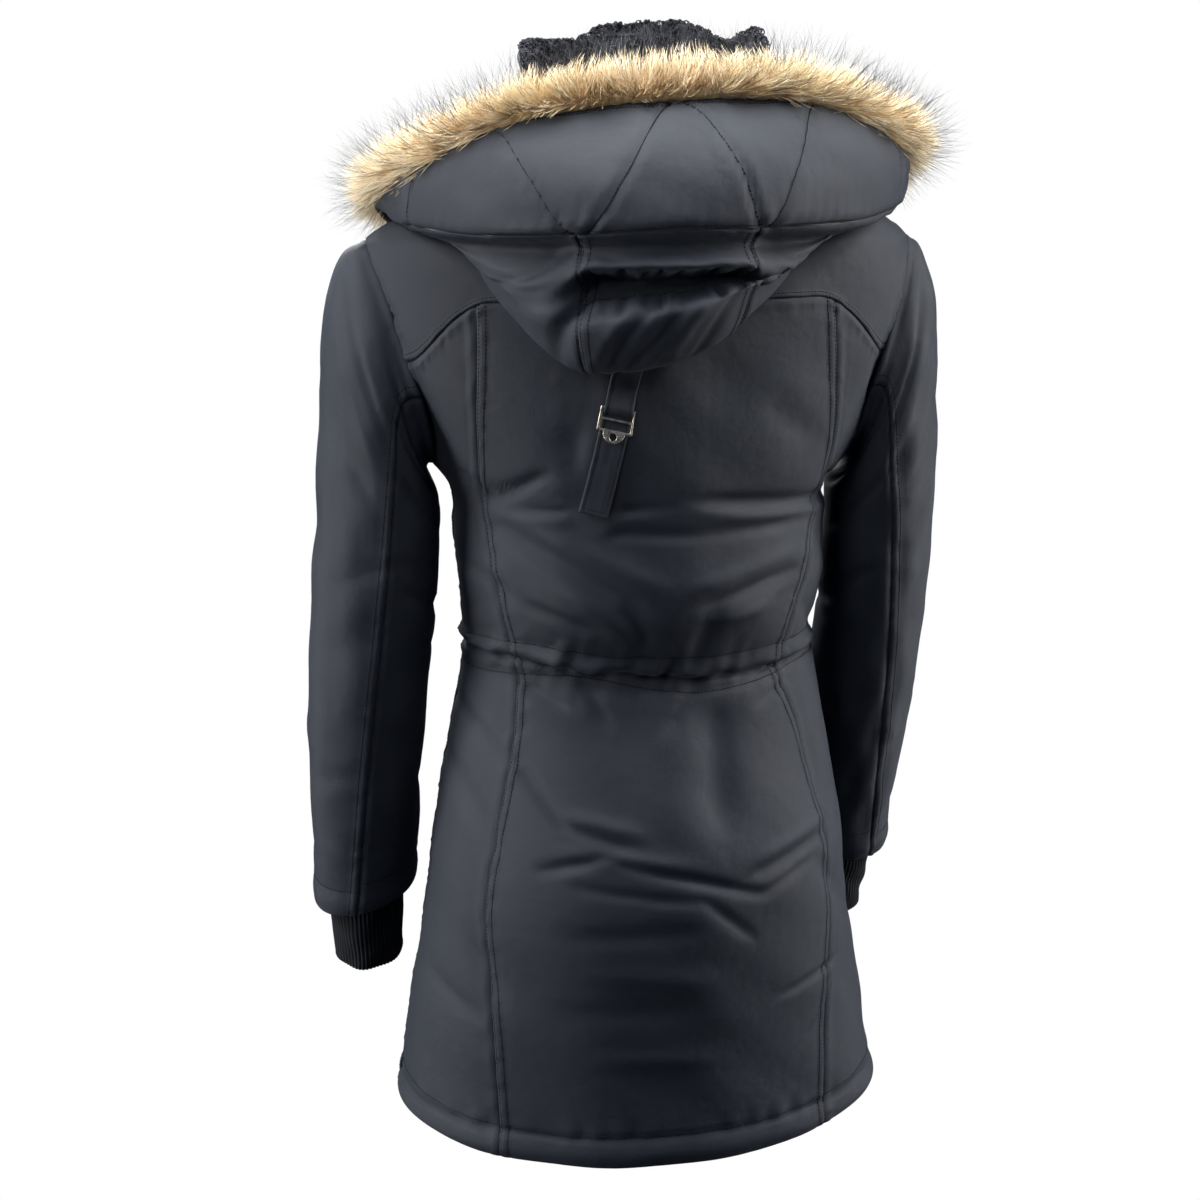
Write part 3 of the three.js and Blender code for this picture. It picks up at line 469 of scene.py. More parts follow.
# Materials
def srgb(r, g, b):
    def one(c):
        c /= 255
        return c / 12.92 if c <= 0.04045 else ((c + 0.055) / 1.055) ** 2.4
    return (one(r), one(g), one(b), 1)


class Nodes:
    def __init__(self, name):
        self.mat = bpy.data.materials.new(name)
        self.mat.use_nodes = True
        self.tree = self.mat.node_tree
        self.bsdf = self.tree.nodes["Principled BSDF"]

    def new(self, kind, **values):
        node = self.tree.nodes.new(kind)
        for key, value in values.items():
            setattr(node, key, value)
        return node

    # Gives an input a plain value, or joins it to another node's output
    def feed(self, socket, value):
        if isinstance(value, (int, float, tuple)):
            socket.default_value = value
        else:
            self.tree.links.new(value, socket)

    # Feeds inputs of a node by name, the shader's own when no node is given
    def set(self, node=None, **values):
        for key, value in values.items():
            self.feed((node or self.bsdf).inputs[key.replace("_", " ")], value)

    def math(self, operation, a, b=0.5):
        node = self.new("ShaderNodeMath", operation=operation)
        self.feed(node.inputs[0], a)
        self.feed(node.inputs[1], b)
        return node.outputs[0]

    def coords(self):
        return self.new("ShaderNodeTexCoord").outputs["Object"]

    def uv(self):
        split = self.new("ShaderNodeSeparateXYZ")
        self.set(split, Vector=self.new("ShaderNodeUVMap", uv_map="UVMap").outputs[0])
        return split.outputs[0], split.outputs[1]

    def noise(self, coords, scale, detail, rough):
        node = self.new("ShaderNodeTexNoise")
        self.set(node, Scale=scale, Detail=detail, Roughness=rough, Vector=coords)
        return node.outputs["Fac"]

    def ramp(self, value, stops):
        node = self.new("ShaderNodeValToRGB")
        elements = node.color_ramp.elements
        while len(elements) < len(stops):
            elements.new(0.5)
        for element, (place, colour) in zip(elements, stops):
            element.position = place
            element.color = colour
        self.set(node, Fac=value)
        return node.outputs["Color"]

    def mix(self, fac, a, b):
        node = self.new("ShaderNodeMix", data_type="RGBA")
        for k, value in ((0, fac), (6, a), (7, b)):
            self.feed(node.inputs[k], value)
        return node.outputs[2]

    def bump(self, height, strength, distance, **normal):
        node = self.new("ShaderNodeBump")
        self.set(node, Strength=strength, Distance=distance, Height=height, **normal)
        return node.outputs["Normal"]


def twill(name, dark, light, rough):
    n = Nodes(name)
    x, y = n.uv()
    # Twill lines 0.75 mm apart on the slant, crossed by the yarns at a smaller pitch
    slant = n.math("SINE", n.math("MULTIPLY", n.math("ADD", x, n.math("MULTIPLY", y, 0.8)), 2 * math.pi / 0.00075))
    yarn = n.math("SINE", n.math("MULTIPLY", n.math("SUBTRACT", x, y), 2 * math.pi / 0.00048))
    weave = n.math("ADD", n.math("MULTIPLY", slant, 0.6), n.math("MULTIPLY", yarn, 0.35))
    coords = n.coords()
    broad, fine = n.noise(coords, 9, 3, 0.55), n.noise(coords, 900, 2, 0.6)
    tone = n.math("ADD", n.math("MULTIPLY", broad, 0.7), n.math("MULTIPLY", fine, 0.3))
    large = n.bump(n.noise(coords, 30, 3, 0.55), 0.18, 0.004)
    soft = n.bump(n.noise(coords, 95, 5, 0.62), 0.3, 0.0014, Normal=large)
    height = n.math("ADD", weave, n.math("MULTIPLY", fine, 0.9))
    uneven = n.math("MULTIPLY", n.math("SUBTRACT", broad, 0.5), 0.12)
    n.set(Base_Color=n.mix(tone, dark, light), Normal=n.bump(height, 0.35, 0.00018, Normal=soft),
          Roughness=n.math("ADD", rough, uneven), Sheen_Weight=0.05, Sheen_Roughness=0.4,
          Sheen_Tint=(0.8, 0.85, 0.95, 1), Specular_IOR_Level=0.3)
    return n.mat


def rib_knit():
    n = Nodes("rib_knit")
    x, y = n.uv()
    row = n.math("SINE", n.math("MULTIPLY", y, 2 * math.pi / 0.0016))
    column = n.math("SINE", n.math("MULTIPLY", x, 2 * math.pi / 0.0015))
    fuzz = n.noise(n.coords(), 700, 3, 0.6)
    height = n.math("ADD", n.math("MULTIPLY", row, column), fuzz)
    n.set(Base_Color=n.mix(fuzz, srgb(3, 5, 11), srgb(11, 14, 23)), Normal=n.bump(height, 0.6, 0.0004),
          Roughness=0.9, Sheen_Weight=0.06, Sheen_Roughness=0.5, Specular_IOR_Level=0.2)
    return n.mat


def pile_cloth():
    n = Nodes("curly_pile")
    coords = n.coords()
    broad, fine = n.noise(coords, 120, 3, 0.6), n.noise(coords, 700, 3, 0.7)
    height = n.math("ADD", broad, n.math("MULTIPLY", fine, 0.5))
    n.set(Base_Color=n.mix(broad, srgb(9, 10, 15), srgb(28, 31, 41)), Normal=n.bump(height, 0.8, 0.002),
          Roughness=0.85, Sheen_Weight=0.1, Sheen_Roughness=0.4, Specular_IOR_Level=0.3)
    return n.mat


def fur_under():
    n = Nodes("fur_under")
    coords = n.coords()
    tone = n.noise(coords, 160, 4, 0.7)
    n.set(Base_Color=n.mix(tone, srgb(168, 132, 86), srgb(232, 202, 150)),
          Normal=n.bump(n.noise(coords, 420, 4, 0.7), 0.9, 0.003), Roughness=0.9, Sheen_Weight=0.2)
    return n.mat


# Hairs have their tone in u and the way from root to tip in v
def fur_hair():
    n = Nodes("fur_hair")
    tone, along = n.uv()
    pale = n.ramp(along, [(0.0, srgb(226, 192, 140)), (0.3, srgb(253, 232, 188)), (0.75, srgb(255, 244, 212)),
                          (1.0, srgb(248, 228, 188))])
    deep = n.ramp(along, [(0.0, srgb(178, 140, 92)), (0.45, srgb(232, 198, 146)), (1.0, srgb(238, 208, 160))])
    n.set(Base_Color=n.mix(n.ramp(tone, [(0.35, (0, 0, 0, 1)), (0.95, (1, 1, 1, 1))]), pale, deep),
          Roughness=0.5, Sheen_Weight=0.3, Sheen_Roughness=0.4, Specular_IOR_Level=0.4)
    return n.mat


def guard_hair():
    n = Nodes("fur_guard")
    grey = n.ramp(n.uv()[1], [(0.0, srgb(226, 196, 148)), (0.3, srgb(196, 164, 118)), (0.48, srgb(84, 66, 52)),
                              (0.62, srgb(26, 25, 28)), (1.0, srgb(18, 19, 24))])
    n.set(Base_Color=grey, Roughness=0.4, Specular_IOR_Level=0.5)
    return n.mat


def old_metal(name, light, dark):
    n = Nodes(name)
    coords = n.coords()
    wear = n.noise(coords, 260, 4, 0.65)
    rough = n.math("ADD", 0.22, n.math("MULTIPLY", n.noise(coords, 600, 3, 0.6), 0.3))
    n.set(Base_Color=n.ramp(wear, [(0.35, dark), (0.6, light)]), Roughness=rough,
          Normal=n.bump(wear, 0.2, 0.0003), Metallic=1.0)
    return n.mat


def thread():
    # Near black and darker than the cloth: partly the thread's own black, partly painted shade for the needle holes at
    # each stitch.
    n = Nodes("sewing_thread_painted_shade")
    twist = n.noise(n.coords(), 1500, 2, 0.5)
    n.set(Base_Color=n.mix(twist, srgb(3, 3, 4), srgb(11, 12, 15)), Roughness=0.85, Specular_IOR_Level=0.15)
    return n.mat


MATERIALS = {
    "shell": twill("twill_shell", srgb(29, 33, 40), srgb(38, 42, 50), 0.58),
    "shell:thread": thread(),
    "rib": rib_knit(),
    "pile": pile_cloth(),
    "fur": fur_hair(),
    "fur:guard": guard_hair(),
    "fur:core": fur_under(),
    "metal": old_metal("antique_brass", srgb(216, 208, 188), srgb(128, 120, 104)),
    "tape": twill("zip_tape", srgb(14, 15, 18), srgb(24, 25, 30), 0.8),
    "metal:teeth": old_metal("dark_teeth", srgb(70, 68, 64), srgb(36, 34, 32)),
}
sewing = Sewing()


# Body panels
def panel(seam_a, seam_b, bottom, top):
    # An angle and a level that agree are found in small steps, since each seam depends on both
    def base(u, v):
        u, v = np.broadcast_arrays(np.asarray(u, float), np.asarray(v, float))
        level = mix(bottom(0 * u), top(0 * u), v)
        for _ in range(30):
            angle = mix(seam_a(level), seam_b(level), u)
            level = mix(level, mix(bottom(angle), top(angle), v), 0.22)
        slack = TUCK / read(BODY_RINGS, level)[..., 1]
        return body_point(angle + mix(-slack, slack, u), level + mix(-TUCK, 0, v))
    return base


# A surface's width at any v, its mean height and its largest width
def sizes(base):
    v = np.linspace(0, 1, 25)
    grid = base(*np.meshgrid(np.linspace(0, 1, 41), v))
    widths = np.linalg.norm(np.diff(grid, axis=1), axis=-1).sum(1)
    heights = np.linalg.norm(np.diff(grid, axis=0), axis=-1).sum(0)
    return (lambda at: np.interp(at, v, widths)), float(heights.mean()), widths.max()


# Creases of the back. Columns: across, level, half length, half height, tilt, rise.
BACK_CREASES = [
    [-98, -261, 66, 6, 7, -4.5], [-102, -272, 64, 7, 7, 2.5], [66, -260, 66, 3.2, -3, -1.8],
    [67, -268, 66, 5, -3, 1.2], [-91, -280, 54, 6, -1, -2.6], [8, -279, 44, 5, 3, -2.2],
    [118, -245, 29, 6, -33, -3.0], [79, -307, 66, 9, 29, -4.5], [55, -299, 62, 10, 25, 2.6],
    [-80, -331, 46, 6, -13, -4.2], [-72, -315, 46, 7, -13, 2.6], [-67, -352, 28, 6, -11, 2.4],
    [81, -353, 32, 5, 20, -3.0], [49, -348, 38, 8, 37, 2.2], [21, -359, 24, 10, 63, -2.2],
    [-39, -364, 26, 10, -70, -2.2], [183, -202, 47, 8, 65, -5], [-194, -199, 57, 8, -85, -5],
    [150, -246, 18, 5, 40, -2.6], [-165, -262, 25, 5, 56, -2.6], [67, -209, 23, 16, 46, -1.6],
    [-112, -192, 29, 14, 41, -1.6], [136, -329, 21, 6, 40, -2.2], [-151, -384, 34, 6, 55, -2.2],
    [101, -506, 30, 5, 52, -3.0], [55, -536, 31, 5, 16, -2.8], [48, -527, 31, 7, 13, 2.2],
    [77, -559, 28, 5, -16, -2.6], [9, -564, 45, 4.5, 15, -2.8], [31, -555, 52, 7, 6, 2.0],
    [-57, -584, 35, 5, 19, -2.8], [-112, -586, 25, 5, -20, -2.4], [23, -585, 56, 5, 8, -1.8],
    [-56, -612, 31, 5, 41, -2.0], [-114, -568, 42, 6, -13, -3.0], [-113, -555, 35, 7, -15, 2.2],
    [-138, -684, 32, 4, -10, -2.4], [-50, -485, 52, 16, 87, -3.6], [-5, -490, 47, 24, 85, 2.6],
    [97, -424, 22, 5, 26, -2.6], [147, -464, 27, 6, 51, -2.4], [152, -532, 43, 8, 64, -2.4],
    [28, -620, 60, 9, -2, -1.4], [7, -658, 57, 9, 6, 1.2], [29, -687, 60, 10, -1, -1.2],
    [-147, -504, 42, 7, 71, -2.2], [-172, -626, 56, 7, 57, -2.0], [150, -665, 29, 8, 69, -1.8],
    [174, -695, 22, 7, 29, -1.6], [-199, -738, 50, 7, 63, -1.6], [3, -729, 52, 8, 2, 1.2],
    [-110, -430, 22, 5, -24, -2.2], [-20, -434, 26, 6, -50, -1.8], [52, -430, 20, 6, 60, -1.8],
]
# Creases of the fronts, plainer.
FRONT_CREASES = [
    [60, -404, 66, 6, -3, -4.0], [-62, -402, 66, 6, 3, -4.0], [110, -396, 50, 5, 10, -3.0],
    [-112, -396, 50, 5, -10, -3.0], [90, -350, 60, 8, 14, 2.4], [-86, -346, 60, 8, -12, 2.4],
    [150, -230, 44, 8, -50, -4.0], [-152, -230, 44, 8, 50, -4.0], [100, -280, 64, 13, -16, 2.4],
    [-96, -284, 66, 13, 15, 2.4], [76, -462, 60, 10, 6, -2.2], [-80, -458, 60, 10, -5, -2.2],
    [96, -560, 80, 15, -10, 2.6], [-90, -548, 80, 15, 9, 2.6], [110, -650, 74, 13, 12, -2.4],
    [-112, -664, 74, 13, -14, -2.4], [80, -742, 70, 13, -4, 2.2], [-70, -736, 72, 13, 3, 2.2],
]


def casing(x, column):
    return np.interp(x, CASING[:, 0], CASING[:, column])


# The strap lies flat, so the back is even under it
STRAP_TOP = np.array([27.0, -133])
STRAP_END = np.array([56.0, -262])


def under_strap(x, z):
    line = STRAP_END - STRAP_TOP
    t = np.clip(((x - STRAP_TOP[0]) * line[0] + (z - STRAP_TOP[1]) * line[1]) / (line @ line), 0, 1)
    away = np.hypot(x - STRAP_TOP[0] - t * line[0], z - STRAP_TOP[1] - t * line[1])
    return 1 - smooth((away - 15) / 12)


def body_relief(back):
    table = BACK_CREASES if back else FRONT_CREASES

    def relief(u, v, p):
        x, z = p[..., 0], p[..., 2]
        z0 = z + (HEM_DROP * smooth((-600 - z) / 225) if back else 0)
        rise = (1.4 if back else 1.2) * folds(table, x, z0)
        # The waist casing: grooves at its two sewing lines, a pinched crease, and gathers between and beside them
        high, low, crease = z - casing(x, 1), z - casing(x, 2), z - casing(x, 3)
        rise = rise - bump(high, 2.4) - bump(low, 2.4)
        pinch = (0.75 + 0.35 * waves(75, x, 0 * x, 46, 3)) * (1 if back else 0.6)
        pinch = pinch + (0.5 * np.exp(-((x - 86) / 26) ** 2) if back else 0)
        wander = 1.8 * waves(76, x, 0 * x, 34, 3)
        rise = rise - 5.6 * pinch * bump(crease - wander, 3.0) + 4.4 * pinch * bump(crease - 8.5 - 0.5 * wander, 5.5)
        near = np.exp(-((z - casing(x, 1) + 13) / 24) ** 2)
        uneven = 0.5 + 0.5 * waves(71, x, 0 * x, 80, 3) + (0.35 * np.exp(-((x - 86) / 30) ** 2) if back else 0)
        rise = rise + near * uneven * 2.0 * waves(70, x + 0.35 * (z + 400), z * 0.3, 17, 5)
        # Hem: a soft roll under its sewing line
        above = z0 - HEM
        rise = rise - 2.0 * bump(above - 27, 2.4) + 2.6 * bump(above - 12, 10)
        rise = rise + 0.8 * waves(72, x, 0 * x, 16, 3) * bump(above - 32, 9)
        rise = rise + 0.6 * waves(77, x, 0 * x, 34, 3) * bump(above - 12, 9)
        rise = rise + 1.0 * waves(73, x, z, 78, 5) + 0.07 * waves(74, x, z, 21, 5)
        if back:
            rise = rise * (1 - 0.95 * under_strap(x, z))
        return rise
    return relief


# Draws a piece of cloth in place of its node, and works out its flat size
def sew_on(name, base, outward, seams, relief, seed, step, held, rests_on="yoke_cloth", puff=0.6):
    width, height, widest = sizes(base)
    cloth = Cloth(base, width, height, outward, seams, relief, seed, puff)
    obj = cloth.build(name + "_cloth", step)
    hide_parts(name)
    declare(obj, widest, height, held, rests_on)
    return cloth


def make_body():
    hem = lambda a: HEM + 0 * a
    neck = lambda a: 0 * a
    sides = dict(left="seam", right="seam", bottom="plain")
    pieces = [
        ("back_centre", right_princess, left_princess, hem, yoke_seam, (0, 1, 0), 3.4, dict(sides, top="seam")),
        ("back_side_left", left_princess, back_edge, hem, yoke_seam, (0.6, 0.8, 0), 4.0, dict(sides, top="seam")),
        ("back_side_right", lambda z: -back_edge(z), right_princess, hem, yoke_seam, (-0.6, 0.8, 0), 4.0,
         dict(sides, top="seam")),
        ("yoke", lambda z: -back_edge(z), back_edge, yoke_seam, neck, (0, 0.7, 0.7), 4.0,
         dict(left="seam", right="seam", bottom="seam", top="plain")),
        ("front_left", front_edge, middle_edge, hem, neck, (0.7, -0.7, 0), 6.2,
         dict(sides, right="plain", top="plain")),
        ("front_right", lambda z: -middle_edge(z), lambda z: -front_edge(z), hem, neck, (-0.7, -0.7, 0), 6.2,
         dict(sides, left="plain", top="plain")),
    ]
    made = {}
    for k, (name, a, b, low, high, outward, step, seams) in enumerate(pieces):
        relief = body_relief(not name.startswith("front"))
        made[name] = sew_on(name, panel(a, b, low, high), outward, seams, relief, 100 * k, step, "stretched")
    return made


# Works out a sheet's cut in metres, and keeps nothing of it. One side of the wall is half of the mesh's area, and the
# cut is at least as large.
def declare(obj, width, height, held, *rests_on):
    areas = np.empty(len(obj.data.polygons))
    obj.data.polygons.foreach_get("area", areas)
    area = float(areas.sum()) / 2
    width, height = width / 1000, height / 1000
    if area > width * height:
        grow = math.sqrt(area / (width * height)) * 1.001
        width, height = width * grow, height * grow


body = make_body()

# Distances of sewing lines from a seam
SINGLE = 2.4
DOUBLE = (2.2, 8.6)


# Sewing lines beside an edge, at the given distances from it
def sew_edge(cloth, side, *distances):
    t = np.linspace(0.002, 0.998, 700)
    width = cloth.width({"bottom": 0.0, "top": 1.0}.get(side, t))
    for d in distances:
        across, up = d / width + 0 * t, d / cloth.height + 0 * t
        u, v = {"left": (across, t), "right": (1 - across, t), "bottom": (t, up), "top": (t, 1 - up)}[side]
        sewing.line(*cloth.on(u, v))


# Level lines across a panel, such as the casing's and the hem's sewing
def sew_level(cloth, level_of):
    u = np.linspace(0.004, 0.996, 500)
    low, high = np.zeros_like(u), np.ones_like(u)
    for _ in range(22):
        v = (low + high) / 2
        p = cloth.base(u, v)
        over = p[..., 2] > level_of(p[..., 0], p[..., 1])
        high, low = np.where(over, v, high), np.where(over, low, v)
    sewing.line(*cloth.on(u, v))


def make_body_sewing():
    sew_edge(body["back_centre"], "left", *DOUBLE)
    sew_edge(body["back_centre"], "right", *DOUBLE)
    sew_edge(body["yoke"], "bottom", *DOUBLE)
    for name, cloth in body.items():
        if name != "yoke":
            sew_level(cloth, lambda x, y: casing(x, 1))
            sew_level(cloth, lambda x, y: casing(x, 2))
            sew_level(cloth, lambda x, y: HEM + 27 - HEM_DROP * (y > 0) * np.clip(y / 150, 0, 1))
    sew_edge(body["back_side_left"], "right", SINGLE)
    sew_edge(body["back_side_right"], "left", SINGLE)
    sew_edge(body["front_left"], "left", SINGLE)
    sew_edge(body["front_left"], "right", 3.0, 9.5)
    sew_edge(body["front_right"], "left", 3.0, 9.5)
    sew_edge(body["front_right"], "right", SINGLE)


make_body_sewing()


# Sleeves
def sleeve_point(rows, side, turn, share):
    turn, share = np.broadcast_arrays(np.asarray(turn, float), np.asarray(share, float))

    def ring(s):
        r = read(rows, s)
        c = np.cos(turn)
        lean = 0.22 * smooth((s - 0.45) / 0.4)
        return np.stack([
            (r[..., 1] + r[..., 3] + c * (r[..., 1] - r[..., 3])) / 2,
            r[..., 5] + r[..., 6] * np.sin(turn),
            (r[..., 2] + r[..., 4] + c * (r[..., 2] - r[..., 4])) / 2 - lean * r[..., 6] * np.sin(turn),
        ], -1)

    point = ring(share)
    fade = (1 - smooth(share / 0.2))[..., None]
    point = point + fade * (hole_point(turn, -0.2) - ring(0 * share))
    # The first millimetres are sewn in under the body's cloth
    sewn = 1 - smooth(share / 0.022)
    wide = hole_point(turn, -2.4) - hole_point(turn, -0.2)
    point = point + sewn[..., None] * (wide + np.array([-3.2, 0, 0]))
    return point * np.array([side, 1, 1])


# Creases of the sleeves. Columns: degrees round from the outside, share of the way down, half length round in
# degrees, half height in share, slant (share a degree), rise.
SLEEVE_CREASES = [
    [70, 0.14, 34, 0.016, 0.0022, -2.6], [62, 0.19, 30, 0.02, 0.0022, 1.8], [130, 0.10, 34, 0.014, 0.0016, -3.0],
    [150, 0.17, 36, 0.014, 0.0010, -2.6], [60, 0.30, 34, 0.02, 0.0012, -1.4], [140, 0.29, 40, 0.016, 0.0006, -2.0],
    [78, 0.45, 30, 0.014, -0.0012, -1.4], [136, 0.46, 34, 0.010, 0.0002, -2.4], [190, 0.50, 50, 0.012, 0.0004, -2.4],
    [150, 0.55, 36, 0.014, -0.0006, -1.6], [40, 0.58, 34, 0.022, -0.0008, -1.2], [120, 0.70, 30, 0.014, 0.0008, -1.6],
    [60, 0.76, 34, 0.016, -0.0006, -1.4], [170, 0.80, 44, 0.016, 0.0004, -1.6], [100, 0.87, 36, 0.012, 0.0006, -1.4],
    [340, 0.22, 44, 0.02, 0.0008, -1.6], [310, 0.48, 50, 0.02, -0.0008, -1.8], [330, 0.70, 44, 0.02, 0.0006, 1.4],
    [290, 0.84, 44, 0.016, -0.0006, -1.4], [10, 0.9, 50, 0.014, 0.0003, -1.0],
]


def sleeve_relief(seed, turn_at):
    def relief(u, v, p):
        turn = np.degrees(turn_at(u, v)) % 360
        share, rise = v, 0.0
        for round_at, at, half_round, half_share, slant, height in SLEEVE_CREASES:
            d = (turn - round_at - 12 * math.sin(seed + at * 9) + 180) % 360 - 180
            over = (share - at - slant * d - 0.01 * math.sin(3 * seed + round_at)) / half_share
            rise = rise + height * np.exp(-((d / half_round) ** 4) - over ** 2)
        down = (1 - share) * 590
        rise = rise - 1.4 * bump(down - 26, 1.9) + 1.3 * bump(down - 13, 9)
        rise = rise + 0.9 * waves(seed + 5, p[..., 0] * 1.6, p[..., 2] * 0.6, 52, 5)
        return rise + 0.1 * waves(seed + 6, p[..., 0], p[..., 2], 19, 5)
    return relief


def make_sleeve(word, rows, seams, side, seed):
    gap = math.radians(-0.5)
    made = {}
    for part in ("upper", "under"):
        def turn_at(u, v, part=part):
            row = read(seams, v)
            back, front = np.radians(row[..., 1]), np.radians(row[..., 2])
            if part == "upper":
                return mix(front - 2 * np.pi + gap, back - gap, u)
            return mix(back + gap, front - gap, u)

        def base(u, v, turn_at=turn_at):
            return sleeve_point(rows, side, turn_at(u, v), v)
        upper = part == "upper"
        made[part] = sew_on(f"sleeve_{part}_{word}", base, (side if upper else -side, 0, 0),
                            dict(left="seam", right="seam", top="plain", bottom="seam"), sleeve_relief(seed, turn_at),
                            seed * 7, 4.8, "hung", puff=1.0 if upper else 0.3)
    sew_edge(made["upper"], "right", 2.0, 9.4)
    sew_edge(made["upper"], "left", SINGLE)
    for cloth in made.values():
        sew_edge(cloth, "bottom", SINGLE)
    for cloth in made.values():
        sew_edge(cloth, "top", 26)


make_sleeve("left", LEFT_SLEEVE, LEFT_SLEEVE_SEAMS, 1, 3)
make_sleeve("right", RIGHT_SLEEVE, RIGHT_SLEEVE_SEAMS, -1, 8)


# Knitted cuffs, with their ribs raised
def make_cuff(word, rows, side):
    _, out_x, out_z, in_x, in_z, y, _ = rows[-1]
    around, along = 216, 34
    turn = 2 * np.pi * np.arange(around) / around
    v = np.linspace(0, 1, along + 1)
    tt, vv = np.meshgrid(turn, v)
    radius = mix(36, 31.5, smooth(vv))
    down = mix(-16, CUFF_LENGTH, vv)
    cx = (out_x + in_x) / 2
    p = np.stack([
        side * (cx - 0.03 * down + radius * np.cos(tt)),
        y - 0.26 * down + radius * np.sin(tt),
        (out_z + in_z) / 2 - 0.96 * down - 0.25 * radius * np.sin(tt) - 0.06 * radius * np.cos(tt),
    ], -1)
    sewn = sleeve_point(rows, side, tt, np.full_like(tt, 0.945))
    middle = (sleeve_point(rows, side, 0.0, 0.945) + sleeve_point(rows, side, np.pi, 0.945)) / 2
    sewn = sewn + unit(middle - sewn) * 4.2
    p = mix(sewn, p, smooth(vv / 0.2)[..., None])
    n = facing(grid_normals(p, closed=True), p - p.mean(1, keepdims=True))
    ribs = np.abs(np.sin(27 * tt)) ** 0.6 * 1.15
    soft = 1.1 * waves(40 + side, np.degrees(tt) * 0.6, vv * 80, 34, 4) * smooth(vv * 3)
    end = -1.4 * np.exp(-(1 - vv) * 40) - 0.6 * bump((1 - vv) * 80 - 6, 1.6)
    grid = p + n * (ribs * (0.6 + 0.4 * smooth(vv * 4)) + soft + end - 0.6)[..., None]
    obj = wall(f"rib_cuff_{word}_knit", grid, n, 2.2, "rib", closed=True)
    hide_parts(f"rib_cuff_{word}")
    declare(obj, 2 * math.pi * 36 * 1.3, 118, "stretched", f"sleeve_upper_{word}_cloth")


make_cuff("left", LEFT_SLEEVE, 1)
make_cuff("right", RIGHT_SLEEVE, -1)


# Collar
def collar_point(angle, share, out=0.0):
    base = body_point(angle, 0.0, out)
    row = read(COLLAR_TOP, np.abs(np.degrees(angle)))
    top = np.minimum(row[..., 1], np.interp(np.degrees(angle), PILE_TOP[:, 0], PILE_TOP[:, 1]) - 2.5)
    outward = unit(base[..., :2])
    bow = row[..., 2] * np.maximum(share, 0) ** 0.8
    return np.stack([
        base[..., 0] + outward[..., 0] * bow, base[..., 1] + outward[..., 1] * bow,
        mix(base[..., 2] + 0.5, top, share),
    ], -1)


COLLAR_ANGLE = math.pi - math.asin(ZIP_HALF_GAP / 85)


# Curls of pile: each is a short bent yarn that starts and ends in the cloth
def curls(name, points, normals, seed, size, thick):
    rng = np.random.default_rng(seed)
    count = len(points)
    turn = rng.uniform(0, 2 * np.pi, count)
    ref = np.where(np.abs(normals[:, 2:3]) > 0.8, [[1.0, 0, 0]], [[0, 0, 1.0]])
    t1 = unit(np.cross(normals, ref))
    t2 = np.cross(normals, t1)
    a = t1 * np.cos(turn)[:, None] + t2 * np.sin(turn)[:, None]
    b = np.cross(normals, a)
    radius = size * rng.uniform(0.7, 1.25, count)
    lean = rng.uniform(-0.7, 0.7, count)
    up = normals * np.cos(lean)[:, None] + b * np.sin(lean)[:, None]
    side = np.cross(a, up)
    sweep = rng.uniform(3.6, 5.4, count)
    steps = 6
    verts = np.empty((count, steps + 1, 3, 3))
    for k in range(steps + 1):
        t = -sweep / 2 + sweep * k / steps + np.pi / 2
        ring = points + up * (0.55 * radius)[:, None] + (
            a * (np.cos(t) * radius)[:, None] + up * (np.sin(t) * radius)[:, None]
            + side * ((k / steps - 0.5) * 1.6 * radius * 0.5)[:, None])
        out = a * np.cos(t)[:, None] + up * np.sin(t)[:, None]
        width = thick * rng.uniform(0.85, 1.15, count) * (0.75 if k in (0, steps) else 1.0)
        for j in range(3):
            q = 2 * np.pi * j / 3
            verts[:, k, j] = ring + out * (np.cos(q) * width)[:, None] + side * (np.sin(q) * width)[:, None]
    one = [[3 * k + j, 3 * k + (j + 1) % 3, 3 * k + 3 + (j + 1) % 3, 3 * k + 3 + j]
           for k in range(steps) for j in range(3)]
    mesh_object(name, verts, repeated(one, count, 3 * (steps + 1)), "pile")


def lumps(seed, x, y):
    return 1.3 * waves(seed, x, y, 13, 6) + 0.8 * waves(seed + 1, x, y, 6, 6)


